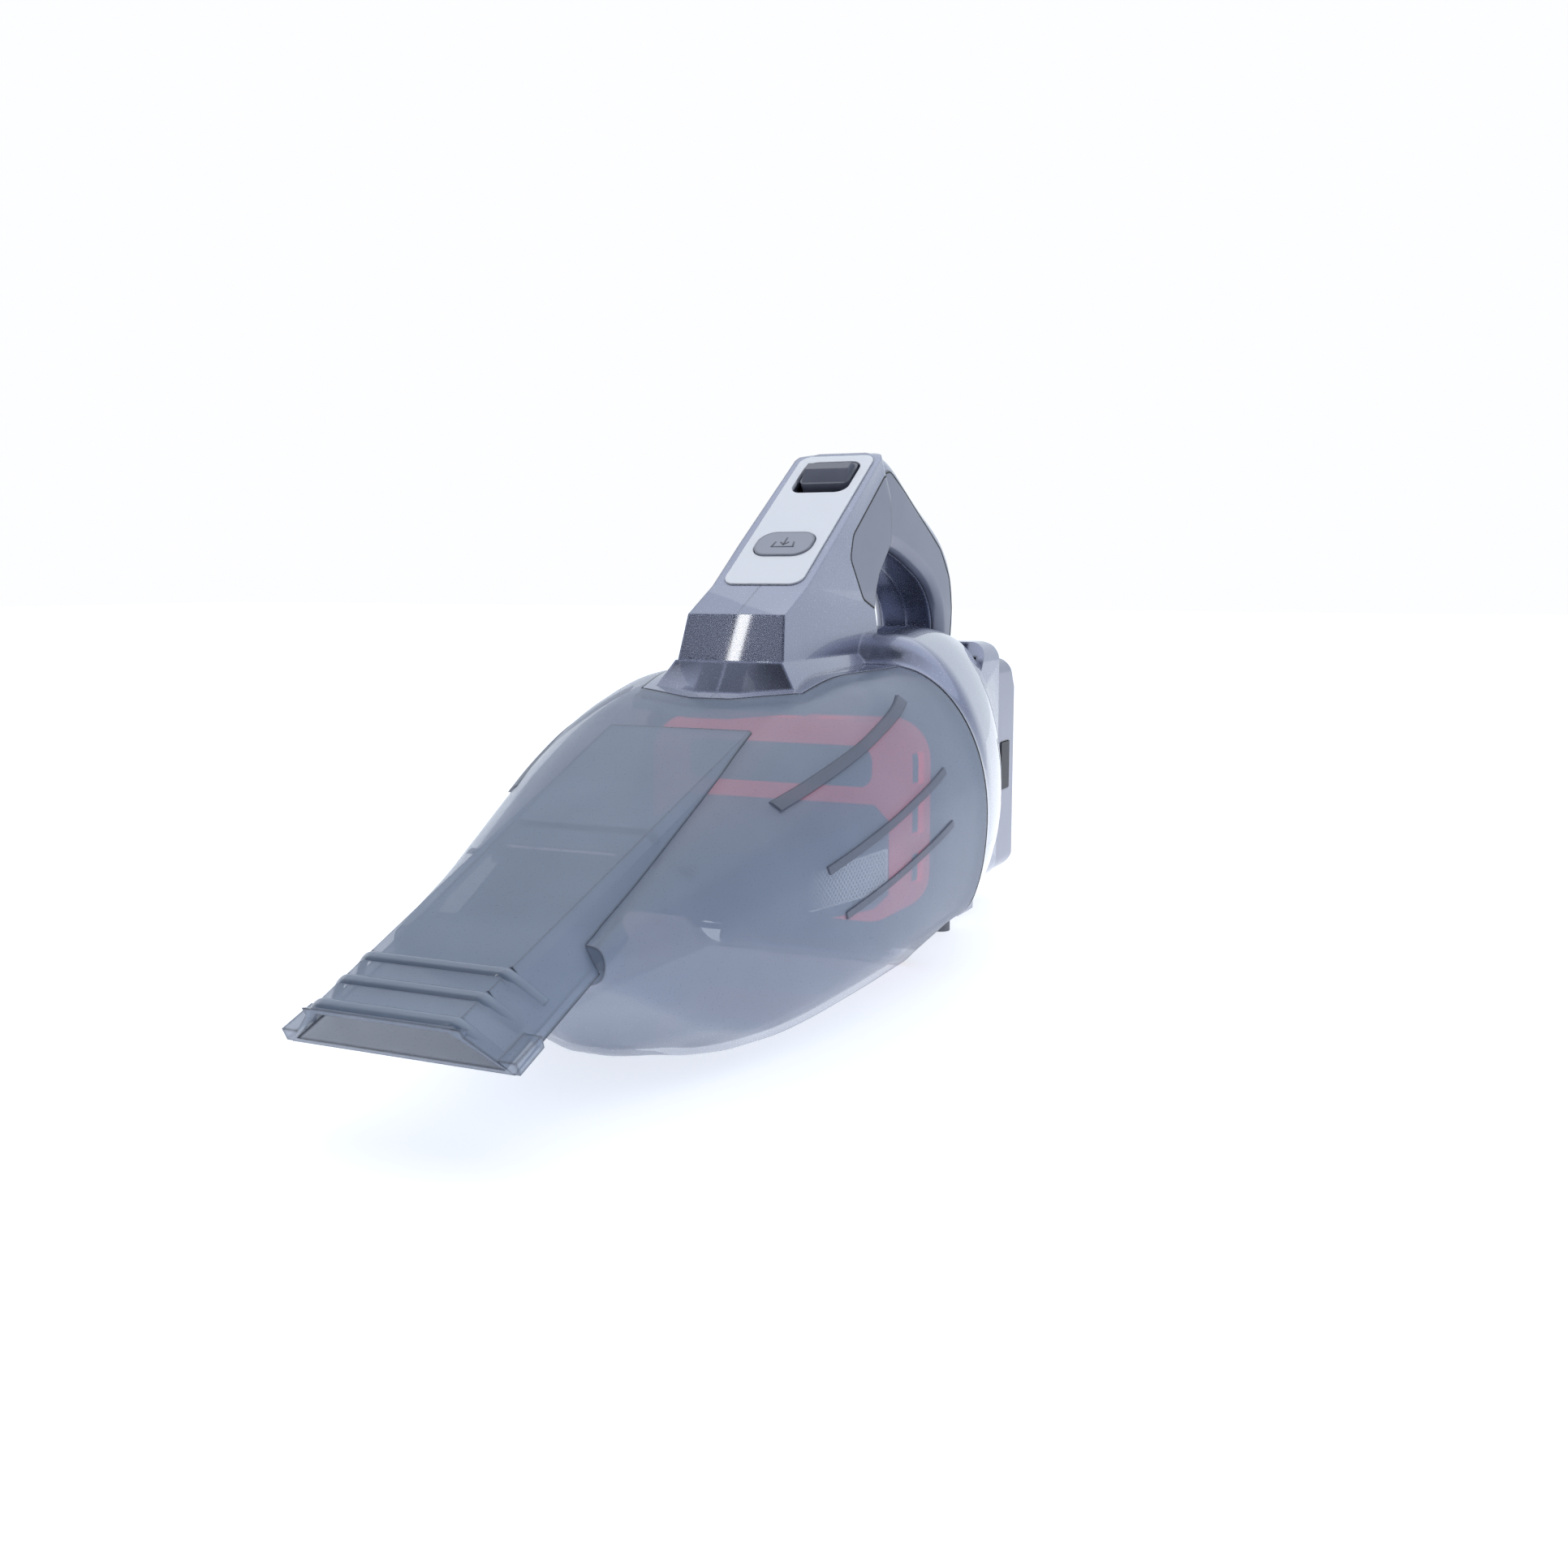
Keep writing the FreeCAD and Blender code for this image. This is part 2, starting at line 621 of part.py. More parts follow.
def rounded_prism(half, y0, y1, z0, z1, corner):
    """Bar along Y with rounded long edges."""
    bar = block(-half, half, y0, y1, z0, z1)
    long_edges = [e for e in bar.Edges if abs(e.tangentAt(e.FirstParameter).y) > 0.9]
    return bar.makeFillet(corner, long_edges)


def dock_solid():
    profile = [(DOCK - 34, 98 + HIGH), (DOCK - 23, 115 + HIGH), (DOCK - 14, 122.6 + HIGH),
               (DOCK - 2, 122.6 + HIGH), (DOCK, 120.5 + HIGH), (DOCK, 10), (DOCK - 34, 10)]
    half = size("pack_half") + 1.4
    bar = rounded_prism(half, DOCK - 60, DOCK, size("pack_low") - 1, 122.6 + HIGH, 9.0)
    return side_slab(profile, half + 1).common(bar)


def hood_solid():
    """Skin over the bowl's top, flush with the bowl."""
    return moulded(BOWL, -0.15, NOSE, RIM + 8).common(hood_plan(0.0))


def vent_cutters():
    """Exhaust slots in both sides of the drum."""
    cutters = []
    for column in range(6):
        y = HOUSING_FRONT + 48 + column * 8.0
        slot = block(-FAR, FAR, y, y + size("vent_width"), AXIS_Z - 4, AXIS_Z - 4 + size("vent_length"))
        cutters.append(slot)
    return cutters


def control_cutters():
    """Plate recess, button well and switch window in the control face."""
    gap, proud = size("control_gap"), size("plate_proud")
    floor = proud - size("plate_thickness")
    plate_half, length = size("plate_half"), size("plate_length")
    recess = face_box(plate_half + 0.1, 1.0 - 0.1, 1.0 + length + 0.1, floor, 12, 5.1)
    empty_half, empty_length = size("empty_half"), size("empty_length")
    well = face_box(empty_half + gap, size("empty_place") - empty_length / 2 - gap,
                    size("empty_place") + empty_length / 2 + gap, -14, 6, 7.0)
    window = face_box(size("window_half"), size("window_place") - size("window_length") / 2,
                      size("window_place") + size("window_length") / 2, -12, 6, 5.0)
    return [recess, well, window]


def switch_block(grow):
    """Body of the slide switch in the control face's frame, grown by grow."""
    place = size("window_place")
    return block(-9 - grow, 9 + grow, place - 12 - grow, place + 9 + grow, -16.5 - grow, -6.0 + grow)


def housing_outer():
    drum = moulded(DRUM)
    body = drum.fuse([hood_solid(), shoulder_solid(), strut_solid(size("strut_half")),
                      grip_solid(size("grip_half")), dock_solid()])
    body = body.cut(gap_solid(30.0).cut(moulded(DRUM)))
    return body.cut(bowl_body(size("hood_sink"), 0.0, size("rim_gap")).fuse(
        block(-FAR, FAR, -FAR, HOUSING_FRONT, -FAR, 100 * TALL)))


def housing_cavity():
    wall = size("shell_wall")
    drum = moulded(DRUM, wall, HOUSING_FRONT - 6, DOCK - wall - 2)
    strut = side_slab([at(-10.6, 100), at(-3, 135.6), at(15, 144.6), at(83, 192), at(86, 186),
                       at(79, 160), at(75.5, 142), at(76, 100)], size("strut_half") - 3.4)
    dock = block(-size("pack_half") + 2.5, size("pack_half") - 2.5, DOCK - 24, DOCK - wall,
                 size("pack_low") + 3, 116 + HIGH)
    return drum.fuse([strut, dock])


# each screw: y, z, where its head sits in x, how far out its access hole runs, half length of its boss
SCREWS = [at(16, 136.5) + (-13.0, -40.0, 18.0), at(66, 124) + (-13.0, -40.0, 18.0),
          at(112, 181) + (-9.0, -12.0, 12.0), at(176, 128, True) + (-9.0, -12.0, 12.0),
          at(158, 109, True) + (-13.0, -60.0, 33.0)]


def screw_bosses():
    return [rod(size("boss_radius"), (-half, y, z), (half, y, z)) for y, z, _, _, half in SCREWS]


def screw_shapes(clear=0.0):
    """Screws with pan heads, or with clear the bores that take them."""
    shapes = []
    for y, z, head_x, access_x, _ in SCREWS:
        shank = rod(size("screw_radius") + clear, (head_x, y, z), (head_x + 20.0 + clear, y, z))
        end = access_x if clear else head_x - 2.4
        head = rod(size("screw_head_radius") + clear, (head_x, y, z), (end, y, z))
        shapes.append(shank.fuse(head))
    return shapes


def panel_region(start, side):
    """Slab in the outline of the soft side panel, from X = start outwards."""
    curve = [at(90, 192), at(104, 195.2), at(122, 187.3), at(146, 174.8, True), at(167, 163.6, True),
             at(178.8, 151, True), at(182.6, 137, True), at(180.4, 123.6, True)]
    lines = [at(163, 120.5, True), at(150, 123, True), at(100, 133), at(84, 138), at(68, 143),
             at(54, 159), at(56.5, 168)]
    x = start if side > 0 else -start
    return outline_face(curve, lines, x).extrude(Vector(side * 20, 0, 0))


def build_grip(side):
    grip, strut = grip_solid(size("grip_half")), strut_solid(size("strut_half"))
    inner = size("grip_half") - size("grip_panel")
    on_grip = grip.cut(strut).common(panel_region(inner, side))
    on_strut = strut.common(panel_region(size("strut_half") - 3.3, side))
    return on_grip.fuse(on_strut).cut(gap_solid(30.0)).removeSplitter()


GRIPS = {"grip_right": build_grip(1), "grip_left": build_grip(-1)}


def terminal_slot():
    return block(-17, 17, DOCK - 8, DOCK + 2, AXIS_Z - 14, AXIS_Z + 14)


LEVER_PIN = at(34.0, 127.0)


def latch_pin_seat():
    """Blind bores in both walls of the pillar that hold the latch's pin."""
    half = size("strut_half") - 2.0
    return rod(size("latch_pin_radius"), (-half, *LEVER_PIN), (half, *LEVER_PIN))


def build_housing():
    """Whole moulded housing before it is parted into its shells."""
    body = housing_outer().cut(housing_cavity())
    bosses = [b.common(housing_outer()) for b in screw_bosses()]
    body = body.fuse(bosses)
    hollow = control_cutters() + vent_cutters() + screw_shapes(0.15)
    hollow += [terminal_slot(), on_face(switch_block(size("control_gap"))), latch_pin_seat()]
    hinge_room = hinge_rod(size("hinge_barrel_radius") + 3.2, -48 * WIDE, 48 * WIDE)
    pack_room = block(-FAR, FAR, DOCK, FAR, -FAR, size("pack_high") + HIGH + size("part_gap"))
    return body.cut(hollow + [hinge_room, pack_room] + list(GRIPS.values()))


def build_lower_cover(lower):
    """Lower cover with the fixed hinge lugs."""
    barrel, gap = size("hinge_barrel_radius"), size("part_gap")
    (left0, left1), (right0, right1) = KNUCKLES
    lugs = []
    for x0, x1 in ((-size("hinge_length") / 2 - 2, left0 - gap), (left1 + gap, right0 - gap),
                   (right1 + gap, size("hinge_length") / 2 + 2)):
        arm = block(x0, x1, HINGE.y, HINGE.y + 10, HINGE.z - barrel + 0.4, HINGE.z + barrel)
        lugs.append(arm.fuse(hinge_rod(barrel, x0, x1)))
    bore = hinge_rod(size("hinge_pin_radius"), -FAR, FAR)
    return lower.fuse(lugs).cut(bore)


housing = build_housing()
parting = size("cover_height") * TALL
upper = housing.common(block(-FAR, FAR, -FAR, FAR, parting, FAR))
lower = housing.common(block(-FAR, FAR, -FAR, FAR, -FAR, parting))
shaped("housing_right", largest(upper.common(block(0, FAR, -FAR, FAR, -FAR, FAR))))
shaped("housing_left", largest(upper.common(block(-FAR, 0, -FAR, FAR, -FAR, FAR))))
shaped("lower_cover", largest(build_lower_cover(lower)))
for name, grip in GRIPS.items():
    shaped(name, largest(grip))
shaped("housing_screws", Part.makeCompound(screw_shapes()))


def build_bulkhead():
    """Front wall of the motor housing with the air inlet in it."""
    inset = size("shell_wall") + size("part_gap")
    wall = moulded(DRUM, inset, HOUSING_FRONT + 0.2, HOUSING_FRONT + 3.0)
    eye = rod(size("eye_radius") + 4, (0, -FAR, AXIS_Z), (0, FAR, AXIS_Z))
    hinge_room = hinge_rod(size("hinge_barrel_radius") + 3.6, -50 * WIDE, 50 * WIDE)
    return largest(wall.cut([eye, hinge_room]))


def build_seal():
    """Black gasket ring in the seam between bowl and housing."""
    y0, y1 = RIM + 0.2, HOUSING_FRONT - 0.1
    sink = size("hood_sink") + size("part_gap")

    def ring(outside, inside):
        return section_plate(BOWL, RIM, outside, y0, y1).cut(
            section_plate(BOWL, RIM, inside, y0 - 1, y1 + 1))

    around = ring(0.7, 4.6).cut(hood_plan(0.8))
    under_hood = ring(sink + 0.3, sink + 3.4).common(hood_plan(0.8))
    half, top = size("hinge_length") / 2 + 18.0, HINGE.z + size("hinge_barrel_radius") + 0.7
    room = block(-half, half, y0 - 1, y1 + 1, -1, top)
    over_hinge = block(-half - 4, half + 4, y0, y1, 0.6, top + 2.2).common(
        section_plate(BOWL, RIM, 0.7, y0, y1))
    return largest(around.fuse([under_hood, over_hinge]).cut(room).removeSplitter())


shaped("front_bulkhead", build_bulkhead())
shaped("bowl_seal", build_seal())

# ---------------------------------------------------------------- controls


def build_plate():
    """Pale plate let into the control face, with its two openings."""
    proud, gap = size("plate_proud"), size("control_gap")
    plate = face_box(size("plate_half"), 1.0, 1.0 + size("plate_length"),
                     proud - size("plate_thickness"), proud, 5.0)
    return largest(plate.cut(control_cutters()[1:]))


STEM_DEPTH = 28.0               # button's stem below the control face


def build_empty_button():
    half, place, length = size("empty_half"), size("empty_place"), size("empty_length")
    top = size("plate_proud") + 0.5
    cap = rounded_plate(half, place - length / 2, place + length / 2, top - 6.0, top, 6.6)
    stem = block(-3, 3, place - 3, place + 3, -STEM_DEPTH, top - 4.0)
    return on_face(cap.fuse(stem))


def build_slider():
    """Thumb switch with a raised grip ridge."""
    place, half, length = size("window_place"), size("slider_half"), size("slider_length")
    gap = size("control_gap")
    high_end = place + size("window_length") / 2 - gap
    start = high_end - length
    base = rounded_plate(half, start, high_end, -4.2, 0.2, 3.0)
    ridge = Part.Face(Part.makePolygon([Vector(-half + 1.2, y, z) for y, z in (
        (start + 0.6, 0), (start + 4.6, 2.6), (start + 6.2, 3.4), (start + 11.0, 3.2),
        (start + 13.4, 0), (start + 0.6, 0))])).extrude(Vector(2 * half - 2.4, 0, 0))
    tongue = block(-3, 3, start + 4, start + 9, -8.4, -4.0)
    return on_face(base.fuse([ridge, tongue]))


def build_switch_body():
    """Slide switch under the thumb piece, with the slot for its tongue."""
    place = size("window_place")
    body = switch_block(0.0)
    slot = block(-3.4, 3.4, place - 8.5, place + 8.5, -9.0, 0)
    return on_face(body.cut(slot))


def build_latch():
    """Rocker that lifts its hook off the bowl's catch bar when the button's stem presses it."""
    y, z = LEVER_PIN
    stem_y = FACE_FOOT[0] + size("empty_place") * math.cos(SLOPE_FACE) + STEM_DEPTH * math.sin(SLOPE_FACE)
    stem_z = FACE_FOOT[1] + size("empty_place") * math.sin(SLOPE_FACE) - STEM_DEPTH * math.cos(SLOPE_FACE)
    hook_y = CATCH_Y - 1.5
    low = CATCH_Z + 0.5
    arm = side_slab([(hook_y - 3, low + 3.2), (hook_y + 1, low + 2.6), (y + 2, z - 3.4),
                     (stem_y + 3.0, stem_z - 5.2), (stem_y + 4.5, stem_z - 2.2), (stem_y - 2.0, stem_z - 1.6),
                     (y, z + 3.4), (hook_y - 3, low + 6.4)], 5.0)
    tooth = block(-5, 5, hook_y - 3, hook_y, low, low + 4.5)
    hub = rod(4.0, (-5, y, z), (5, y, z))
    bore = rod(size("latch_pin_radius") + size("running_gap"), (-FAR, y, z), (FAR, y, z))
    return largest(arm.fuse([tooth, hub]).cut(bore))


shaped("control_plate", build_plate())
shaped("empty_button", build_empty_button())
shaped("power_slider", build_slider())
shaped("switch_body", build_switch_body())
shaped("latch_lever", build_latch())

# ---------------------------------------------------------------- filter pack


def build_filter_frame():
    """Open cup with side windows that carries the filter on the bulkhead."""
    half, wall = size("filter_half"), size("filter_wall")
    low, high = size("filter_low") * TALL, size("filter_high") * TALL
    front = RIM - 24.0
    cup = rounded_prism(half, front, HOUSING_FRONT + 0.2, low, high, 16.0)
    inner = rounded_prism(half - wall, front + wall, HOUSING_FRONT + 5, low + wall, high - wall, 14.0)
    mouth = rounded_prism(size("screen_half") - size("screen_wall"), front - 5, front + wall + 1,
                          SCREEN_LOW + 1.4, SCREEN_HIGH - 1.4, 8.0)
    windows = []
    for z in (low + 14, low + 33, low + 52):
        windows.append(block(-FAR, FAR, front + 6, RIM - 5, z, z + 12))
    for x in (-26, -7, 12):
        windows.append(block(x, x + 14, front + 6, RIM - 5, low - 5, FAR))
    upper = rounded_prism(half - 14, front - 5, front + wall + 1, SCREEN_HIGH + 6, high - 9, 6.0)
    return largest(cup.cut([inner, mouth, upper] + windows))


SCREEN_LOW, SCREEN_HIGH = 27.0 * TALL, 67.0 * TALL
SCREEN_FRONT = RIM - size("screen_reach")


def tapered_box(shrink, front_extra, rear_extra):
    """Closed cage that narrows towards the front."""
    rear, front = RIM - 24.0 + rear_extra, SCREEN_FRONT + front_extra
    rows = []
    for y, half, low, high in ((rear, size("screen_half"), SCREEN_LOW, SCREEN_HIGH),
                               (front, size("screen_half") - 8, SCREEN_LOW + 4, SCREEN_HIGH - 12)):
        half, low, high = half - shrink, low + shrink, high - shrink
        ease = 6.0
        outline_points = [(-half + ease, low), (half - ease, low), (half, low + ease), (half, high - ease),
                          (half - ease, high), (-half + ease, high), (-half, high - ease), (-half, low + ease)]
        rows.append(Part.makePolygon([Vector(x, y, z) for x, z in outline_points + outline_points[:1]]))
    return Part.makeLoft(rows, True, True)


def build_screen():
    wall = size("screen_wall")
    return largest(tapered_box(0.0, 0.0, 0.0).cut(tapered_box(wall, wall, 1.0)))


def build_pleats():
    """Folded paper filter inside the screen."""
    pitch, sheet_half = size("pleat_pitch"), size("pleat_sheet")
    span = size("screen_half") - 14
    count = int(2 * span / pitch) // 2 * 2
    front, rear = SCREEN_FRONT + 10, RIM - 26
    path = [(-span + i * 2 * span / count, rear if i % 2 == 0 else front) for i in range(count + 1)]
    fold = span / count * 2
    reach = sheet_half / 2 * math.hypot(fold, rear - front) / fold
    wide = [(x, y + reach) for x, y in path] + [(x, y - reach) for x, y in reversed(path)]
    wire = Part.makePolygon([Vector(x, y, SCREEN_LOW + 9) for x, y in wide + wide[:1]])
    return Part.Face(wire).extrude(Vector(0, 0, SCREEN_HIGH - SCREEN_LOW - 26))


shaped("filter_frame", build_filter_frame())
shaped("prefilter_screen", build_screen())
shaped("pleated_filter", build_pleats())

# ---------------------------------------------------------------- motor and fan

FAN_FRONT = HOUSING_FRONT + 7.5


def turned(name, rings, x=0.0):
    """Sub-part turned about the motor's axis from cylinders, each added to or cut from the last.

    A ring is (radius, start, length, cut): expressions of the sheet, start measured from the rim.
    """
    result = None
    for number, (radius, start, length, cut) in enumerate(rings):
        cylinder = doc.addObject("Part::Cylinder", "%s_ring_%d" % (name, number))
        cylinder.setExpression("Radius", radius)
        cylinder.setExpression("Height", length)
        cylinder.Placement = Placement(Vector(x, 0, 0), Rotation(X_AXIS, -90))
        cylinder.setExpression("Placement.Base.y", "Sizes.rim_place + Sizes.rim_gap + %s" % start)
        cylinder.setExpression("Placement.Base.z", "Sizes.axis_height")
        if result is None:
            result = cylinder
            continue
        step = doc.addObject("Part::Cut" if cut else "Part::Fuse", "%s_step_%d" % (name, number))
        step.Base, step.Tool = result, cylinder
        result = step
    return keep(name, result)


turned("fan_shroud", [
    ("Sizes.fan_radius + 4 + Sizes.shroud_wall", "4", "24", False),
    ("Sizes.fan_radius + 4", "4 + Sizes.shroud_wall", "24", True),
    ("Sizes.eye_radius", "0", "20", True)])
turned("diffuser", [
    ("Sizes.fan_radius + 4 + Sizes.shroud_wall", "28.2", "2.4", False),
    ("Sizes.motor_radius - 6", "20", "20", True)])
turned("motor_can", [
    ("Sizes.motor_radius", "34", "Sizes.motor_length", False),
    ("Sizes.motor_radius - Sizes.can_wall", "34 + Sizes.can_wall", "Sizes.motor_length", True),
    ("Sizes.shaft_radius + 2.4", "30", "10", True)])
turned("front_bush", [
    ("Sizes.shaft_radius + 2.4", "33.2", "4", False),
    ("Sizes.shaft_radius + Sizes.running_gap", "30", "10", True)])
turned("motor_magnets", [
    ("Sizes.motor_radius - Sizes.can_wall", "40", "Sizes.motor_length - 12", False),
    ("Sizes.motor_radius - Sizes.can_wall - 2.6", "38", "Sizes.motor_length", True)])
turned("end_bell", [
    ("Sizes.motor_radius", "34 + Sizes.motor_length", "5", False),
    ("Sizes.motor_radius - Sizes.can_wall - 0.4", "33 + Sizes.motor_length", "3.4", True),
    ("Sizes.shaft_radius + 3", "36 + Sizes.motor_length", "6", False),
    ("Sizes.shaft_radius + Sizes.running_gap", "30 + Sizes.motor_length", "20", True)])
turned("motor_shaft", [("Sizes.shaft_radius", "9.6", "Sizes.motor_length + 35", False)])
turned("armature", [
    ("Sizes.motor_radius - Sizes.can_wall - 3.4", "42", "Sizes.motor_length - 16", False),
    ("Sizes.shaft_radius + 3.4", "Sizes.motor_length + 26", "4", False),
    ("Sizes.shaft_radius", "30", "Sizes.motor_length + 10", True)])
turned("motor_mount", [
    ("Sizes.motor_radius + 4", "44", "12", False),
    ("Sizes.motor_radius", "43", "14", True)])


def build_cradle():
    """Saddle and strap that hold the rubber motor mount on the lower cover."""
    radius = size("motor_radius") + 4
    y0, y1 = HOUSING_FRONT + 45, HOUSING_FRONT + 55
    strap = rod(radius + 3, (0, y0, AXIS_Z), (0, y1, AXIS_Z))
    saddle = block(-radius, radius, y0, y1, 6, AXIS_Z - 4)
    body = strap.fuse(saddle).cut(rod(radius, (0, y0 - 5, AXIS_Z), (0, y1 + 5, AXIS_Z)))
    return largest(body.common(moulded(DRUM, size("shell_wall") + 0.1)))


def sheet_bound(sketch, kind, element, expression, extra=()):
    """Add a dimension to a sketch and bind it to the sheet."""
    index = sketch.addConstraint(Sketcher.Constraint(kind, element, *extra, 1.0))
    sketch.setExpression("Constraints[%d]" % index, expression)


def origin_plane(body, role):
    return next(f for f in body.Origin.OriginFeatures if f.Role == role)


def build_impeller():
    """Radial fan: disc, hub and straight raked blades in a polar pattern."""
    body = doc.addObject("PartDesign::Body", "fan_impeller")
    plane = origin_plane(body, "XZ_Plane")

    def pad(name, expression, radius_expression=None, corners=None):
        sketch = body.newObject("Sketcher::SketchObject", name + "_sketch")
        sketch.AttachmentSupport = (plane, [""])
        sketch.MapMode = "FlatFace"
        if radius_expression:
            sketch.addGeometry(Part.Circle(Vector(0, 0, 0), Z_AXIS, 10.0), False)
            sheet_bound(sketch, "Radius", 0, radius_expression)
        else:
            for a, b in zip(corners, corners[1:] + corners[:1]):
                sketch.addGeometry(Part.LineSegment(Vector(*a, 0), Vector(*b, 0)), False)
        feature = body.newObject("PartDesign::Pad", name)
        feature.Profile = sketch
        feature.setExpression("Length", expression)
        feature.Reversed = True
        return feature

    pad("disc", "Sizes.fan_disc", "Sizes.fan_radius")
    pad("hub", "Sizes.fan_disc + Sizes.blade_height - 1", "Sizes.shaft_radius + 5")
    reach, root = size("fan_radius") - 1.0, size("shaft_radius") + 4.0
    blade = pad("blade", "Sizes.fan_disc + Sizes.blade_height",
                corners=[(root, -1.0), (reach, 7.2), (reach - 0.4, 8.8), (root, 0.8)])
    pattern = body.newObject("PartDesign::PolarPattern", "blades")
    pattern.Originals = [blade]
    pattern.Axis = (next(f for f in body.Origin.OriginFeatures if f.Role == "Y_Axis"), [""])
    pattern.Angle = 360
    pattern.setExpression("Occurrences", "Sizes.blade_count")
    body.Tip = pattern
    bore_sketch = body.newObject("Sketcher::SketchObject", "bore_sketch")
    bore_sketch.AttachmentSupport = (plane, [""])
    bore_sketch.MapMode = "FlatFace"
    bore_sketch.addGeometry(Part.Circle(Vector(0, 0, 0), Z_AXIS, 1.5), False)
    sheet_bound(bore_sketch, "Radius", 0, "Sizes.shaft_radius")
    bore = body.newObject("PartDesign::Pocket", "bore")
    bore.Profile = bore_sketch
    bore.Type = "ThroughAll"
    bore.Midplane = True
    body.Tip = bore
    body.setExpression("Placement.Base.y", "Sizes.rim_place + Sizes.rim_gap + 22")
    body.setExpression("Placement.Base.z", "Sizes.axis_height")
    body.Placement = Placement(Vector(0, 0, 0), Rotation(Z_AXIS, 180))
    return keep("fan_impeller", body)


shaped("motor_cradle", build_cradle())
build_impeller()

# ---------------------------------------------------------------- electronics and battery


def build_board():
    board = block(-24, 24, DOCK - 21, DOCK - 19.4, AXIS_Z - 26, AXIS_Z + 26)
    lumps = [block(-18, -4, DOCK - 25, DOCK - 21, AXIS_Z + 4, AXIS_Z + 18),
             block(4, 16, DOCK - 27, DOCK - 21, AXIS_Z - 18, AXIS_Z - 4),
             rod(4, (12, DOCK - 31, AXIS_Z + 14), (12, DOCK - 21, AXIS_Z + 14))]
    return board.fuse(lumps)


def build_terminals():
    holder = block(-16, 16, DOCK - 19.4, DOCK - 0.1, AXIS_Z - 13, AXIS_Z + 13)
    slots = [block(x, x + 2.4, DOCK - 9, DOCK + 2, AXIS_Z - 9, AXIS_Z + 9) for x in (-11.2, -3.2, 4.8)]
    return holder.cut(slots)


PACK_FRONT = DOCK + 0.6
PACK_BACK = DOCK + 0.6 + size("pack_depth")
PACK_LOW, PACK_HIGH = size("pack_low"), size("pack_high") + HIGH


def pack_solid(inset):
    """Filled battery pack with its sloping shoulders."""
    half = size("pack_half") - inset
    y0, y1 = PACK_FRONT + inset, PACK_BACK - inset
    z0, z1 = PACK_LOW + inset, PACK_HIGH - inset
    bar = rounded_prism(half, y0, y1, z0, z1, 7.0 - inset)
    return bar.common(side_slab([(y0, z0), (y1 - 5, z0), (y1, z0 + 6), (y1, z1 - 14), (y1 - 8, z1),
                                 (y0, z1)], half + 1))


CATCH_SPOT = (PACK_FRONT + 8.0, PACK_FRONT + 20.0, AXIS_Z - 11.0, AXIS_Z + 11.0)


def catch_block(side, inner, outer, gap):
    y0, y1, z0, z1 = CATCH_SPOT
    a, b = sorted((side * inner, side * outer))
    return block(a, b, y0 - gap, y1 + gap, z0 - gap, z1 + gap)


def build_pack_shell():
    shell = pack_solid(0.0).cut(pack_solid(size("pack_wall")))
    half = size("pack_half")
    windows = [catch_block(side, half - 6, half + 5, 0.3) for side in (-1, 1)]
    blades = block(-13, 13, PACK_FRONT - 5, PACK_FRONT + 6, AXIS_Z - 10, AXIS_Z + 10)
    return largest(shell.cut(windows + [blades]))


def build_cells():
    radius, count = size("cell_radius"), int(size("cell_count"))
    y = (PACK_FRONT + PACK_BACK) / 2 - 0.5
    pitch = 2 * radius + 0.2
    start = (PACK_LOW + PACK_HIGH) / 2 - 1.2 - pitch * (count - 1) / 2
    half = size("cell_length") / 2
    return Part.makeCompound([rod(radius, (-half, y, start + i * pitch), (half, y, start + i * pitch))
                              for i in range(count)])


def build_contacts():
    plate = block(-12.6, 12.6, PACK_FRONT + 0.6, PACK_FRONT + 2.2, AXIS_Z - 9.6, AXIS_Z + 9.6)
    blades = [block(x, x + 1.2, PACK_FRONT - 6.5, PACK_FRONT + 1, AXIS_Z - 7, AXIS_Z + 7)
              for x in (-10.6, -2.6, 5.4)]
    return plate.fuse(blades)


shaped("circuit_board", build_board())
shaped("terminal_block", build_terminals())
shaped("battery_shell", build_pack_shell())
shaped("battery_cells", build_cells())
shaped("battery_contacts", build_contacts())
for name, side in (("catch_right", 1), ("catch_left", -1)):
    half = size("pack_half")
    shaped(name, catch_block(side, half - 3.4, half + 0.5, 0.0))

# ---------------------------------------------------------------- pins and feet


def pin(name, radius, length, y, z):
    """Straight pin along X, centred on the middle plane."""
    obj = doc.addObject("Part::Cylinder", name)
    obj.setExpression("Radius", radius)
    obj.setExpression("Height", length)
    obj.Placement = Placement(Vector(0, y, z), Rotation(Y_AXIS, 90))
    obj.setExpression("Placement.Base.x", "-(%s) / 2" % length)
    return keep(name, obj)


pin("hinge_pin", "Sizes.hinge_pin_radius", "Sizes.hinge_length", HINGE.y, HINGE.z)
pin("flap_pin", "Sizes.flap_pin_radius", "Sizes.flap_width + 5", *FLAP_PIN)
pin("latch_pin", "Sizes.latch_pin_radius", "2 * Sizes.strut_half - 4", *LEVER_PIN)


def build_feet():
    feet = []
    for side in (-1, 1):
        x, y = side * size("foot_spread") * WIDE, size("foot_place")
        feet.append(rod(size("foot_radius"), (x, y, 0), (x, y, 16)).cut(moulded(DRUM)))
    return Part.makeCompound([largest(foot) for foot in feet])


def build_skid():
    plate = block(-41 * WIDE, 41 * WIDE, size("foot_place") + 6, size("foot_place") + 26, 5.4, 9.0)
    return largest(plate.cut(moulded(DRUM)))


shaped("rear_feet", build_feet())
shaped("belly_skid", build_skid())

# ---------------------------------------------------------------- check and export

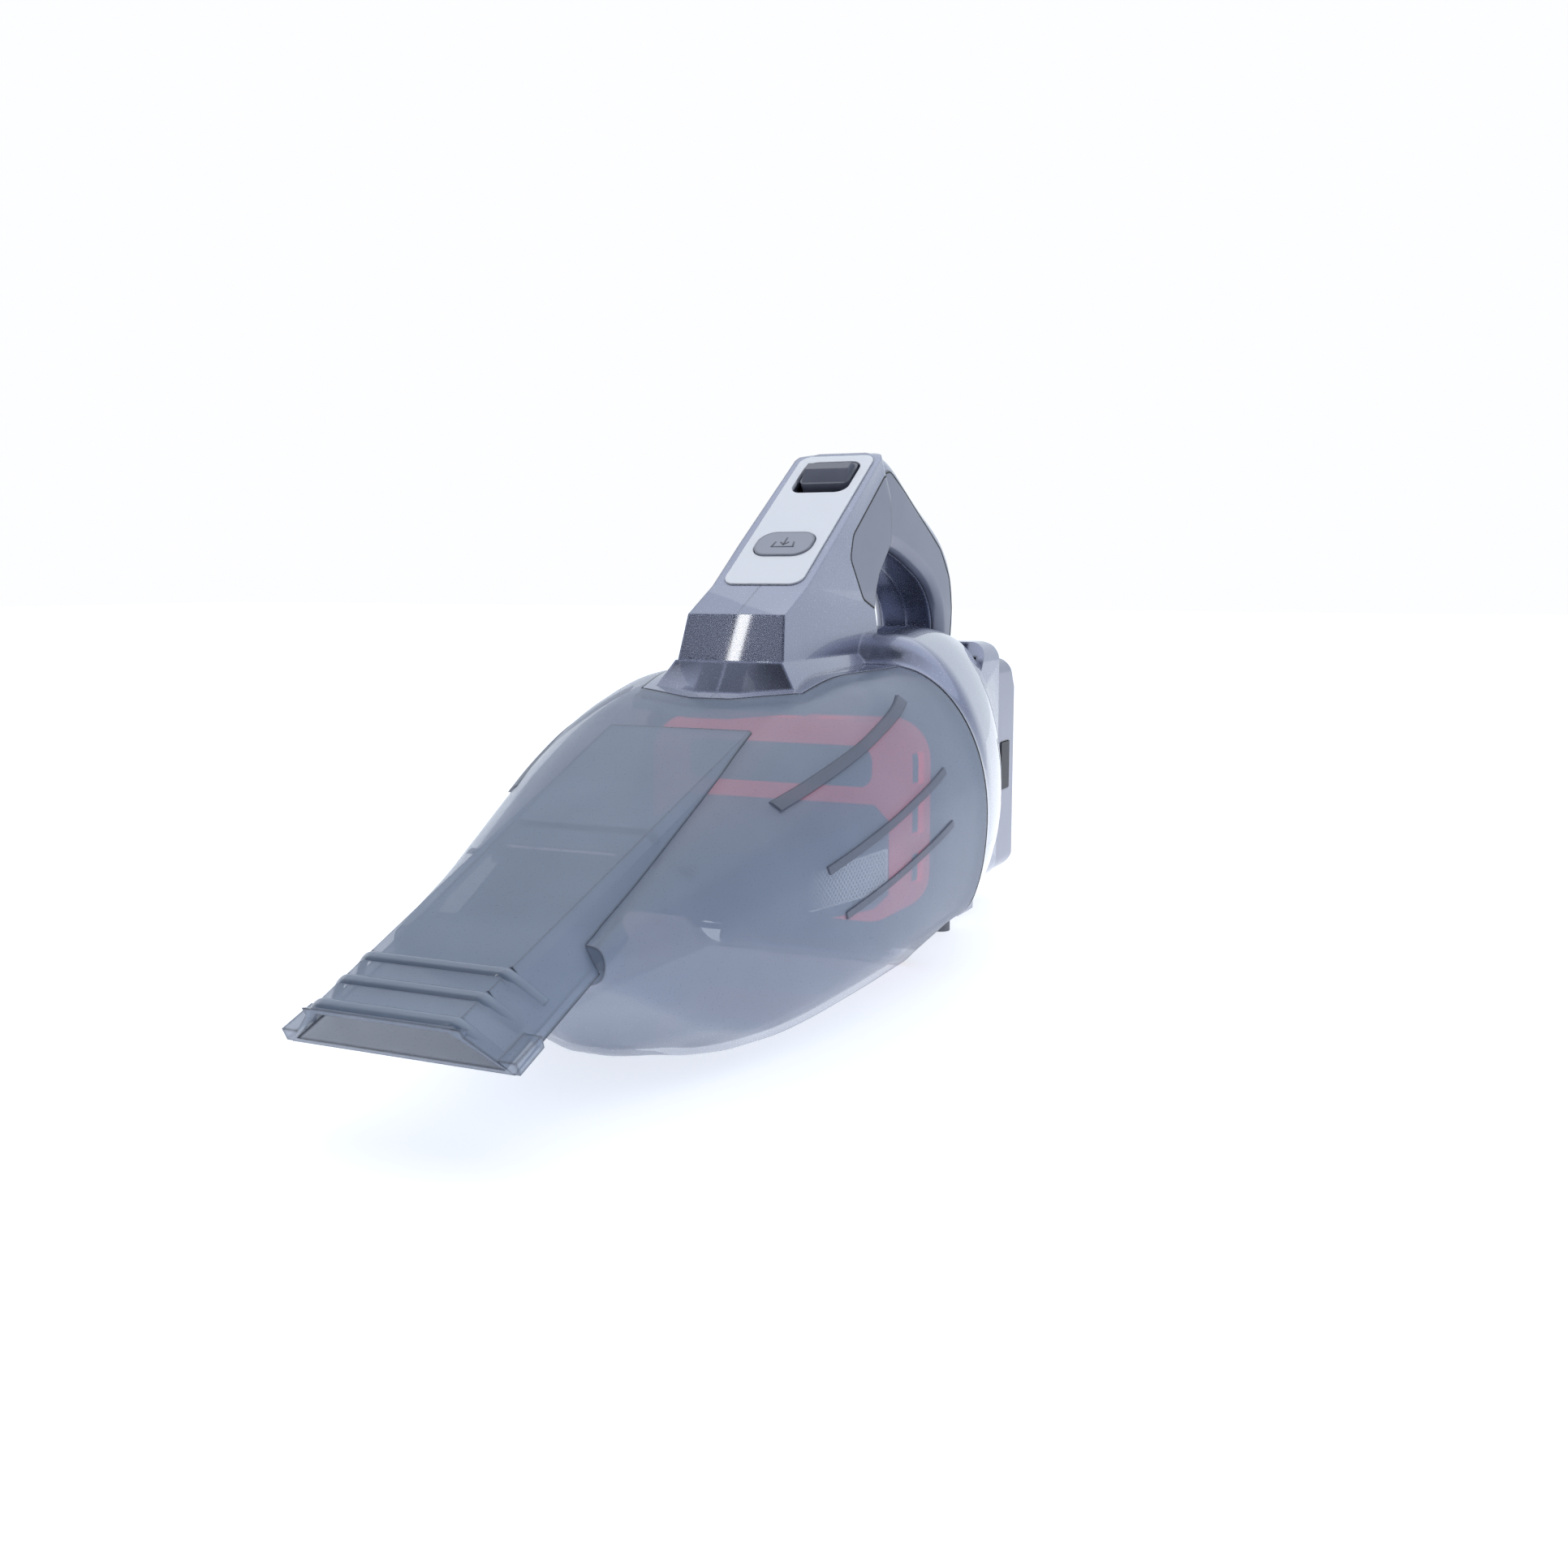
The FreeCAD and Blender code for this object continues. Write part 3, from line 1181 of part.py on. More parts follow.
doc.recompute()
for obj in doc.Objects:
    if "Invalid" in obj.State or "Error" in obj.State:
        raise RuntimeError("failed object: %s" % obj.Label)
os.makedirs("parts", exist_ok=True)
for name, obj in parts.items():
    shape = obj.Shape
    if shape.isNull() or not shape.isValid():
        raise RuntimeError("bad shape: %s" % name)
    box = shape.optimalBoundingBox(False)
    print("%-18s solids %2d  volume %8.0f  y %6.1f..%6.1f  z %6.1f..%6.1f  x %6.1f..%6.1f" % (
        name, len(shape.Solids), shape.Volume, box.YMin, box.YMax, box.ZMin, box.ZMax, box.XMin, box.XMax))
    shape.exportStep("parts/%s.step" % name)
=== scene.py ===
"""Looks of a cordless handheld vacuum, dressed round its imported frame.

Everything is in metres in the frame of the part: +Z up, the nozzle towards -Y, X across.
Each sub-assembly is a class. Its sizes are fields, and its methods finish the moulded shells,
add the small trim and give every piece its material.
"""
import json
import logging
import math
from dataclasses import dataclass
from enum import Enum
from typing import Iterable, Sequence

import bpy
from mathutils import Euler, Matrix, Vector
from mathutils.bvhtree import BVHTree


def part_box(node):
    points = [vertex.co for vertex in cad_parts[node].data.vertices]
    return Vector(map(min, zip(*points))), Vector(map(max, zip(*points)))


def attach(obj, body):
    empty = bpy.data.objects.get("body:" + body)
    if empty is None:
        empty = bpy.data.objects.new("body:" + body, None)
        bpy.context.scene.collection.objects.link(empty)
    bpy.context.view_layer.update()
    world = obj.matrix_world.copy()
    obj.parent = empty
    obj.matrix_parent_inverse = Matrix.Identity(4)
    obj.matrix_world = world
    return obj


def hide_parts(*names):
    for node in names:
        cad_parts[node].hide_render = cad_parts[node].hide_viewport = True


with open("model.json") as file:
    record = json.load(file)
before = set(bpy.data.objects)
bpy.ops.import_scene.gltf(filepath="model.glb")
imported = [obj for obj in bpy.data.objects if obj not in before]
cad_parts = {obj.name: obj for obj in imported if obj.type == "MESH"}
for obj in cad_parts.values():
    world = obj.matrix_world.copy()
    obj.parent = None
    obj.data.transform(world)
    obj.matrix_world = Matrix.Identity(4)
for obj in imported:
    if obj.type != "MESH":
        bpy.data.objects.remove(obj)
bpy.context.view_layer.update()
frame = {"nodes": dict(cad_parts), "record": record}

MM = 0.001
log = logging.getLogger("vacuum")

Colour = tuple[float, float, float]
Point = tuple[float, float, float]
Flat = tuple[float, float]
Socket = bpy.types.NodeSocket
Tree = bpy.types.NodeTree


def linear(red: float, green: float, blue: float) -> Colour:
    """Scene-linear colour of a display colour given in parts of 255."""
    return tuple(((c / 255 + 0.055) / 1.055) ** 2.4 if c > 10 else c / 255 / 12.92
                 for c in (red, green, blue))


COAT_ROUGHNESS = 0.03
MOTTLE_SCALE, MOTTLE_DETAIL = 45.0, 3.0
GRAIN_DETAIL = 2.0
BEVEL_SAMPLES = 4
FLAKE_SIZE = 0.0004
FLAKE_COLOUR = linear(205, 208, 225)
FLAKE_RANGE = (0.965, 0.995)
FLAKE_WEIGHT = 0.3
LAMINATE_SCALE = 300.0
# painted shade at edges and corners: range of the bevel mask that darkens them, and how dark they get
CORNER_RANGE = (0.99, 0.88)
CORNER_SHADE = 0.2


# ---------------------------------------------------------------- finishes


class Pattern(Enum):
    """What is worked into a surface besides its grain."""

    PLAIN = "plain"
    FLAKE = "flake"
    LAMINATE = "laminate"


@dataclass(frozen=True)
class Finish:
    """A moulded, painted or turned surface.

    Attributes:
        name: name of the material.
        light: lighter colour of its slow mottling.
        dark: darker colour of its slow mottling.
        rough: lowest and highest roughness.
        grain: size of the fine grain in metres.
        depth: height of the fine grain in metres.
        metal: how metallic it is.
        coat: weight of a clear gloss coat.
        opacity: how much light one skin stops, 1 for an opaque piece.
        round: radius in metres to which its edges look rounded.
        edge: strength of the painted shade that darkens edges and corners.
        painted_glow: strength of painted light, an emission that makes the piece look lit from behind,
            though it is no lamp.
        pattern: what is worked into it.
    """

    name: str
    light: Colour
    dark: Colour
    rough: tuple[float, float] = (0.35, 0.5)
    grain: float = 0.0006
    depth: float = 0.00001
    metal: float = 0.0
    coat: float = 0.0
    opacity: float = 1.0
    round: float = 0.0005
    edge: float = 0.0
    painted_glow: float = 0.0
    pattern: Pattern = Pattern.PLAIN

    def material(self) -> bpy.types.Material:
        """Return the finish's material, made the first time it is asked for."""
        return bpy.data.materials.get("finish_" + self.name) or self._build()

    def _build(self) -> bpy.types.Material:
        """Build the node tree of the finish.

        Returns:
            The new material.
        """
        material = bpy.data.materials.new("finish_" + self.name)
        material.use_nodes = True
        tree = material.node_tree
        shader = tree.nodes["Principled BSDF"]
        shader.inputs["Metallic"].default_value = self.metal
        shader.inputs["Coat Weight"].default_value = self.coat
        shader.inputs["Coat Roughness"].default_value = COAT_ROUGHNESS
        shader.inputs["Alpha"].default_value = self.opacity
        place = tree.nodes.new("ShaderNodeTexCoord").outputs["Object"]
        fine = self._noise(tree, place, 1.0 / self.grain, GRAIN_DETAIL)
        colour = self._colour(tree, place, shader)
        tree.links.new(colour, shader.inputs["Base Color"])
        # painted light: the piece glows as if lit from behind, though it is no lamp
        if self.painted_glow:
            tree.links.new(colour, shader.inputs["Emission Color"])
            shader.inputs["Emission Strength"].default_value = self.painted_glow
        tree.links.new(self._mapped(tree, fine, (0.0, 1.0), self.rough), shader.inputs["Roughness"])
        tree.links.new(self._normal(tree, fine), shader.inputs["Normal"])
        return material

    def _colour(self, tree: Tree, place: Socket, shader: bpy.types.Node) -> Socket:
        """Build the colour: slow mottling, the pattern and painted shade at the corners.

        Args:
            tree: node tree of the material.
            place: place on the object.
            shader: shader whose opacity rises at the corners of a see-through finish.

        Returns:
            The colour.
        """
        slow = self._noise(tree, place, MOTTLE_SCALE, MOTTLE_DETAIL)
        colour = self._blend(tree, slow, self.dark, self.light)
        if self.pattern is Pattern.FLAKE:
            colour = self._flakes(tree, place, colour)
        elif self.pattern is Pattern.LAMINATE:
            colour = self._stripes(tree, place, colour)
        if self.edge:
            # painted shade: edges and corners are darkened towards a dark copy of the colour
            corners = self._corner_shade_mask(tree)
            colour = self._over(tree, corners, colour, tuple(c * CORNER_SHADE for c in self.dark))
            if self.opacity < 1.0:
                dense = self._mapped(tree, corners, (0.0, 1.0), (self.opacity, 1.0))
                tree.links.new(dense, shader.inputs["Alpha"])
        return colour

    def _normal(self, tree: Tree, fine: Socket) -> Socket:
        """Build the normal: rounded edges with the fine grain on them.

        Args:
            tree: node tree of the material.
            fine: height of the grain.

        Returns:
            The normal.
        """
        bump = tree.nodes.new("ShaderNodeBump")
        bump.inputs["Distance"].default_value = self.depth
        bump.inputs["Strength"].default_value = 1.0
        tree.links.new(fine, bump.inputs["Height"])
        tree.links.new(self._rounded(tree, self.round), bump.inputs["Normal"])
        return bump.outputs["Normal"]

    @staticmethod
    def _rounded(tree: Tree, radius: float) -> Socket:
        """Make a normal that looks rounded at the edges.

        Args:
            tree: node tree of the material.
            radius: radius of the rounding.

        Returns:
            The normal.
        """
        soft = tree.nodes.new("ShaderNodeBevel")
        soft.samples = BEVEL_SAMPLES
        soft.inputs["Radius"].default_value = radius
        return soft.outputs["Normal"]

    @staticmethod
    def _mapped(tree: Tree, value: Socket, source: Flat, target: Flat) -> Socket:
        """Carry a value from one range over to another.

        Args:
            tree: node tree of the material.
            value: value to carry over.
            source: start and end of its range.
            target: what they become.

        Returns:
            The new value.
        """
        spread = tree.nodes.new("ShaderNodeMapRange")
        spread.inputs["From Min"].default_value, spread.inputs["From Max"].default_value = source
        spread.inputs["To Min"].default_value, spread.inputs["To Max"].default_value = target
        tree.links.new(value, spread.inputs["Value"])
        return spread.outputs["Result"]

    @staticmethod
    def _noise(tree: Tree, place: Socket, scale: float, detail: float) -> Socket:
        """Make a noise.

        Args:
            tree: node tree of the material.
            place: place on the object.
            scale: scale per metre.
            detail: levels of detail.

        Returns:
            Its value.
        """
        noise = tree.nodes.new("ShaderNodeTexNoise")
        noise.inputs["Scale"].default_value = scale
        noise.inputs["Detail"].default_value = detail
        tree.links.new(place, noise.inputs["Vector"])
        return noise.outputs["Fac"]

    @staticmethod
    def _blend(tree: Tree, factor: Socket, first: Colour, second: Colour) -> Socket:
        """Mix two colours.

        Args:
            tree: node tree of the material.
            factor: share of the second colour.
            first: colour at 0.
            second: colour at 1.

        Returns:
            The mixed colour.
        """
        mix = tree.nodes.new("ShaderNodeMix")
        mix.data_type = "RGBA"
        mix.inputs["A"].default_value = (*first, 1.0)
        mix.inputs["B"].default_value = (*second, 1.0)
        tree.links.new(factor, mix.inputs["Factor"])
        return mix.outputs["Result"]

    @staticmethod
    def _over(tree: Tree, factor: Socket, under: Socket, colour: Colour) -> Socket:
        """Lay a colour over what is there.

        Args:
            tree: node tree of the material.
            factor: share of the colour.
            under: what is there.
            colour: colour that is laid over it.

        Returns:
            The new colour.
        """
        mix = tree.nodes.new("ShaderNodeMix")
        mix.data_type = "RGBA"
        mix.inputs["B"].default_value = (*colour, 1.0)
        tree.links.new(factor, mix.inputs["Factor"])
        tree.links.new(under, mix.inputs["A"])
        return mix.outputs["Result"]

    def _flakes(self, tree: Tree, place: Socket, under: Socket) -> Socket:
        """Scatter bright metallic flakes over a colour.

        Args:
            tree: node tree of the material.
            place: place on the object.
            under: colour below the flakes.

        Returns:
            The new colour.
        """
        cells = tree.nodes.new("ShaderNodeTexVoronoi")
        cells.inputs["Scale"].default_value = 1.0 / FLAKE_SIZE
        tree.links.new(place, cells.inputs["Vector"])
        split = tree.nodes.new("ShaderNodeSeparateColor")
        tree.links.new(cells.outputs["Color"], split.inputs["Color"])
        rare = self._mapped(tree, split.outputs["Red"], FLAKE_RANGE, (0.0, FLAKE_WEIGHT))
        return self._over(tree, rare, under, FLAKE_COLOUR)

    def _stripes(self, tree: Tree, place: Socket, under: Socket) -> Socket:
        """Draw the fine lines of stacked sheet or windings across Y.

        Args:
            tree: node tree of the material.
            place: place on the object.
            under: colour between the lines.

        Returns:
            The new colour.
        """
        wave = tree.nodes.new("ShaderNodeTexWave")
        wave.bands_direction = "Y"
        wave.inputs["Scale"].default_value = LAMINATE_SCALE
        tree.links.new(place, wave.inputs["Vector"])
        return self._over(tree, wave.outputs["Fac"], under, self.dark)

    def _corner_shade_mask(self, tree: Tree) -> Socket:
        """Find the places where the surface turns a corner, for the painted shade there.

        Args:
            tree: node tree of the material.

        Returns:
            A mask of painted shade, 0 on open surfaces and `edge` at sharp corners.
        """
        flat = tree.nodes.new("ShaderNodeNewGeometry")
        meet = tree.nodes.new("ShaderNodeVectorMath")
        meet.operation = "DOT_PRODUCT"
        tree.links.new(self._rounded(tree, 2 * self.round), meet.inputs[0])
        tree.links.new(flat.outputs["Normal"], meet.inputs[1])
        return self._mapped(tree, meet.outputs["Value"], CORNER_RANGE, (0.0, self.edge))


SMOKE = Finish("smoke_plastic", linear(146, 160, 184), linear(132, 146, 170), (0.24, 0.34), depth=0.0000015,
               coat=0.3, opacity=0.6, round=0.0008, edge=0.8)
# painted shade: the ridges are real, but their darker copy of the smoke plastic stands for the dark lines
# they show
SHADED_RIDGE = Finish("ridge_plastic_shaded", linear(138, 152, 174), linear(122, 136, 158), (0.18, 0.26), depth=0.000001,
               coat=0.6, opacity=0.75, edge=0.5)
RIB = Finish("rib_plastic", linear(116, 124, 142), linear(106, 114, 132), (0.35, 0.45), opacity=0.7)
FLAP = Finish("flap_rubber", linear(52, 54, 58), linear(40, 42, 46), (0.6, 0.75), depth=0.00002)
GLOSS = Finish("housing_gloss", linear(128, 134, 158), linear(116, 122, 146), (0.24, 0.3), depth=0.0,
               metal=0.75, coat=1.0, round=0.0016, pattern=Pattern.FLAKE)
SOFT = Finish("soft_grip", linear(114, 119, 138), linear(102, 107, 126), (0.28, 0.36), grain=0.0004,
              depth=0.000006, metal=0.5, coat=0.5, round=0.0007, edge=0.9)
STEEL = Finish("plain_steel", linear(190, 191, 196), linear(150, 151, 158), (0.2, 0.35), metal=1.0)
BLACK = Finish("black_plastic", linear(46, 47, 52), linear(34, 35, 40), (0.4, 0.55), depth=0.00002)
# real black rubber for the gasket and the motor mount; the same finish also paints the shade in the gaps
# along the seams between parts
SEAL_AND_SEAM_SHADE = Finish("seal_rubber", linear(24, 24, 27), linear(14, 14, 16), (0.5, 0.65))
SILVER = Finish("control_silver", linear(240, 243, 250), linear(234, 237, 246), (0.34, 0.42), grain=0.0003,
                depth=0.000004, metal=0.1, coat=0.15, round=0.0006)
BUTTON = Finish("button_grey", linear(168, 172, 188), linear(156, 160, 176), (0.3, 0.42), round=0.0009,
                edge=0.6)
SLIDER = Finish("slider_dark", linear(112, 116, 132), linear(86, 90, 106), (0.4, 0.55), grain=0.0005,
                depth=0.00004, coat=0.3, round=0.0008)
# painted light: the red frame and the screen mesh glow, though they are no lamps
RED = Finish("filter_red", linear(244, 52, 40), linear(228, 36, 30), (0.25, 0.35), coat=0.3, round=0.0008,
             painted_glow=0.9)
MESH = Finish("screen_mesh", linear(226, 229, 236), linear(210, 213, 222), (0.4, 0.5), painted_glow=0.8)
# painted shade: the screen's core is dark to stand for the shade seen through the holes of its mesh
SHADED_CORE = Finish("screen_core_shade", linear(70, 76, 86), linear(58, 64, 74), (0.5, 0.6))
PAPER = Finish("filter_paper", linear(226, 226, 220), linear(206, 206, 198), (0.8, 0.9), depth=0.00008)
ZINC = Finish("motor_steel", linear(170, 172, 176), linear(140, 142, 148), (0.25, 0.4), metal=1.0)
WOUND = Finish("armature_copper", linear(190, 116, 66), linear(96, 60, 40), (0.3, 0.45), metal=0.9,
               pattern=Pattern.LAMINATE)
BRONZE = Finish("sintered_bronze", linear(176, 140, 92), linear(140, 106, 66), (0.4, 0.6), metal=0.9)
MAGNET = Finish("ferrite", linear(66, 67, 70), linear(50, 51, 54), (0.45, 0.65), depth=0.00004)
BOARD = Finish("board_green", linear(34, 102, 58), linear(24, 80, 46), (0.25, 0.4), coat=0.4)
PACK = Finish("battery_grey", linear(128, 132, 152), linear(116, 120, 140), (0.26, 0.34), grain=0.0005,
              depth=0.0, metal=0.8, coat=0.6, round=0.0012, edge=0.3)
CATCH = Finish("catch_dark", linear(58, 59, 66), linear(46, 47, 54), (0.45, 0.6), depth=0.00005)
WRAP = Finish("cell_wrap", linear(48, 108, 160), linear(36, 92, 142), (0.25, 0.35))
BRASS = Finish("contact_brass", linear(212, 176, 104), linear(190, 152, 82), (0.2, 0.35), metal=1.0)
FOOT = Finish("foot_rubber", linear(120, 122, 130), linear(104, 106, 114), (0.6, 0.75), depth=0.00003)
SKID = Finish("skid_pale", linear(186, 188, 200), linear(174, 176, 190), (0.35, 0.45))


# ---------------------------------------------------------------- shared ways of working

SKIN_MERGE = 0.002 * MM
SKIN_ANGLE = 28.0
BAND_ANGLE = 50.0
BAND_THICKNESS = 0.25 * MM
# painted shade along the seams: how far the black strip sits below the surface
SEAM_SHADE_SINK_MM = 0.05
PROBE_BACK, PROBE_REACH = 0.3, 0.6
EASE_ROUNDS = 4


def only(piece: bpy.types.Object) -> None:
    """Select one object alone and make it active."""
    bpy.ops.object.select_all(action="DESELECT")
    piece.select_set(True)
    bpy.context.view_layer.objects.active = piece


def modifier(piece: bpy.types.Object, kind: str, **settings: float | bool | str) -> None:
    """Add a modifier with its settings and apply it.

    Args:
        piece: object to modify.
        kind: type of the modifier.
        settings: its properties.
    """
    only(piece)
    made = piece.modifiers.new(kind.title(), kind)
    for key, value in settings.items():
        setattr(made, key, value)
    bpy.ops.object.modifier_apply(modifier=made.name)


def settle(piece: bpy.types.Object, angle: float = 30.0) -> None:
    """Put an object at the origin, with its place kept in its mesh, and smooth it.

    Args:
        piece: object to settle.
        angle: edges up to this many degrees are smooth.
    """
    only(piece)
    bpy.ops.object.transform_apply(location=True, rotation=True, scale=True)
    bpy.ops.object.shade_smooth_by_angle(angle=math.radians(angle))


def merge(piece: bpy.types.Object, distance: float) -> None:
    """Merge the vertices of an object that lie closer together than a distance.

    Args:
        piece: object to clean.
        distance: the distance.
    """
    only(piece)
    bpy.ops.object.mode_set(mode="EDIT")
    bpy.ops.mesh.select_all(action="SELECT")
    bpy.ops.mesh.remove_doubles(threshold=distance)
    bpy.ops.object.mode_set(mode="OBJECT")


def dress(piece: bpy.types.Object, finish: Finish) -> None:
    """Give a piece one finish."""
    piece.data.materials.clear()
    piece.data.materials.append(finish.material())


def finished_copy(node: str, finish: Finish, body: str) -> bpy.types.Object:
    """Make a smooth-skinned, closed copy of a sub-part that stands for it.

    Args:
        node: name of the sub-part.
        finish: its surface.
        body: body that it rides on.

    Returns:
        The new object.
    """
    source = frame["nodes"][node]
    piece = bpy.data.objects.new(node + "_skin", source.data.copy())
    bpy.context.scene.collection.objects.link(piece)
    merge(piece, SKIN_MERGE)
    if piece.data.has_custom_normals:
        bpy.ops.mesh.customdata_custom_splitnormals_clear()
    settle(piece, SKIN_ANGLE)
    dress(piece, finish)
    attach(piece, body)
    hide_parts(node)
    log.info("finished %s with %s", node, finish.name)
    return piece


@dataclass(frozen=True)
class Step:
    """One place along a band: its middle, the way across it and the way out of the surface."""

    middle: Vector
    across: Vector
    out: Vector


def band(name: str, steps: Sequence[Step], width: float, rise: float, finish: Finish, body: str,
         slot: str, rows: int = 7) -> bpy.types.Object:
    """Lay a domed band along a path.

    Args:
        name: name of the piece.
        steps: places along the path.
        width: width of the band.
        rise: height of its middle above the path.
        finish: its surface.
        body: body that it rides on.
        slot: material slot of the record; not used.
        rows: points across it.

    Returns:
        The new object.
    """
    bpy.ops.object.select_all(action="DESELECT")
    bpy.ops.mesh.primitive_grid_add(x_subdivisions=len(steps) - 1, y_subdivisions=rows - 1, size=1.0)
    piece = bpy.context.object
    piece.name = name
    for vertex in piece.data.vertices:
        step = steps[round((vertex.co.x + 0.5) * (len(steps) - 1))]
        side = 2.0 * vertex.co.y
        height = rise * math.sqrt(max(0.0, 1.0 - side * side))
        vertex.co = step.middle + step.across * (side * width / 2) + step.out * height
    modifier(piece, "SOLIDIFY", thickness=BAND_THICKNESS, offset=-1.0)
    settle(piece, BAND_ANGLE)
    dress(piece, finish)
    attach(piece, body)
    log.info("added %s with %s", name, finish.name)
    return piece


def resampled(points: Sequence[Flat], pitch: float) -> list[Vector]:
    """Place points evenly along a run of flat points.

    Args:
        points: corners of the run.
        pitch: spacing that is aimed at.

    Returns:
        The places, both ends included.
    """
    places = []
    for (x0, y0), (x1, y1) in zip(points, points[1:]):
        count = max(1, round(math.hypot(x1 - x0, y1 - y0) / pitch))
        places += [Vector((x0 + (x1 - x0) * k / count, y0 + (y1 - y0) * k / count)) for k in range(count)]
    return places + [Vector(points[-1])]


def eased(places: Sequence[Vector]) -> list[Vector]:
    """Draw the corners of a run smooth.

    Args:
        places: places of the run.

    Returns:
        The places drawn smooth, with the ends kept.
    """
    for _ in range(EASE_ROUNDS):
        middles = [(a + 2 * b + c) / 4 for a, b, c in zip(places, places[1:], places[2:])]
        places = [places[0], *middles, places[-1]]
    return list(places)


def around(places: Sequence[Vector], number: int) -> tuple[Vector, Vector]:
    """Places after and before one place of a run."""
    return places[min(number + 1, len(places) - 1)], places[max(number - 1, 0)]


def seam_shade(name: str, path: Sequence[tuple[Vector, Vector, Vector]], skins: Sequence[str], width: float,
         body: str, rise: float = 0.2 * MM) -> None:
    """Draw painted shade along a seam: a black strip laid on the skins of sub-parts, where the gap between
    them is in shade.

    Args:
        name: name of the piece.
        path: places of the seam, each with the place where the surface's height is read and the
            direction in which it is pressed onto the surface.
        skins: sub-parts whose surface takes it.
        width: width of the seam.
        body: body that it rides on.
        rise: height of its middle.
    """
    graph = bpy.context.evaluated_depsgraph_get()
    trees = [BVHTree.FromObject(bpy.data.objects[skin + "_skin"], graph) for skin in skins]
    laid = []
    for place, probe, toward in path:
        hits = [tree.ray_cast(probe - PROBE_BACK * toward, toward, PROBE_REACH) for tree in trees]
        hits = [hit for hit in hits if hit[0] is not None]
        if not hits:
            continue
        point, normal, _, _ = min(hits, key=lambda hit: hit[3])
        laid.append((place + toward * (point - place).dot(toward), normal))
    steps = []
    for number, (point, normal) in enumerate(laid):
        ahead, behind = around([place for place, _ in laid], number)
        across = normal.cross(ahead - behind).normalized()
        steps.append(Step(point - normal * SEAM_SHADE_SINK_MM * MM, across, normal))
    band(name, steps, width, rise, SEAL_AND_SEAM_SHADE, body, "seal_rubber", rows=5)


BODIES = {node: body for body, nodes in frame["record"]["behaviour"]["bodies"].items() for node in nodes}


class Assembly:
    """A group of sub-parts that are finished together."""

    finishes: dict[str, Finish] = {}

    def dress_parts(self) -> None:
        """Make the finished copy of every sub-part in the group."""
        for node, finish in self.finishes.items():
            finished_copy(node, finish, BODIES[node])

    def add_trim(self) -> None:
        """Add the small pieces that belong to the group."""

    def build(self) -> None:
        """Finish the sub-parts and add the trim."""
        self.dress_parts()
        self.add_trim()


@dataclass
class BowlAssembly(Assembly):
    """Smoky tub, nozzle, ribs and inlet flap.

    Attributes:
        lip: Y of the nozzle's lip.
        lip_top: height of the panel at the lip.
        slope: slope of the panel, rise over run.
        flat_half: half width of the panel between its eased corners, at the lip.
        ridges: how far behind the lip the middle of each ridge lies.
        ridged: how far behind the lip the bars of the shell reach.
        widening: growth of the flat half width, per metre behind the lip.
        shoulder: places of a ridge on the flank, sideways and down from the end of the flat.
        pitch: spacing of the places along a ridge.
        width: width of a ridge.
        rise: height of a ridge above its path.
        sink_mm: how far the path lies below the panel, in millimetres.
        merge_distance: vertices closer than this are one after the bars are pressed flat.
        sweep: how far the ridges run back on the flanks, per metre down.
    """

    lip: float = -210.0 * MM
    lip_top: float = 39.73 * MM
    slope: float = math.tan(math.radians(20.9))
    flat_half: float = 22.5 * MM
    ridges: Sequence[float] = (2.9 * MM, 13.5 * MM, 24.0 * MM)
    ridged: float = 30 * MM
    widening: float = 0.03
    shoulder: Sequence[Flat] = ((0.0, 0.0), (2.5 * MM, 2.5 * MM), (8.1 * MM, 9.0 * MM))
    pitch: float = 0.8 * MM
    width: float = 4.6 * MM
    rise: float = 1.1 * MM
    sink_mm: float = 0.2
    merge_distance: float = 0.01 * MM
    sweep: float = 0.65
    finishes = {"dust_bowl": SMOKE, "nozzle": SMOKE, "bowl_ribs": RIB, "inlet_flap": FLAP,
                "flap_pin": STEEL}

    def panel(self, y: float) -> float:
        """Height of the nozzle's panel at y."""
        return self.lip_top + (y - self.lip) * self.slope

    def add_trim(self) -> None:
        """Turn the nozzle's three bars into rounded ridges that wrap round its corners."""
        nozzle = bpy.data.objects["nozzle_skin"]
        for vertex in nozzle.data.vertices:
            if vertex.co.y < self.lip + self.ridged and vertex.co.z > self.panel(vertex.co.y):
                vertex.co.z = self.panel(vertex.co.y)
                vertex.co.x = max(-self.flat_half, min(self.flat_half, vertex.co.x))
        merge(nozzle, self.merge_distance)
        settle(nozzle)
        for number, back in enumerate(self.ridges, start=1):
            self._ridge("nozzle_ridge_%d" % number, self.lip + back)

    def _ridge(self, name: str, y: float) -> None:
        """Lay one ridge over the panel and down both flanks.

        Args:
            name: name of the piece.
            y: Y of its middle on the panel.
        """
        top = self.panel(y)
        flat = self.flat_half + (y - self.lip) * self.widening
        right = [(flat + out, top - down) for out, down in self.shoulder]
        corners = [(-x, z) for x, z in reversed(right)] + right
        places = eased(resampled(corners, self.pitch))
        across = Vector((0, 1, self.slope)).normalized()
        steps = []
        for number, place in enumerate(places):
            ahead, behind = around(places, number)
            run = Vector((ahead.x - behind.x, 0, ahead.y - behind.y)).normalized()
            out = across.cross(run).normalized()
            if out.z < 0:
                out = -out
            swept = y + (top - place.y) * self.sweep
            steps.append(Step(Vector((place.x, swept, place.y)) - out * self.sink_mm * MM, across, out))
        band(name, steps, self.width, self.rise, SHADED_RIDGE, "bowl", "smoke_plastic")


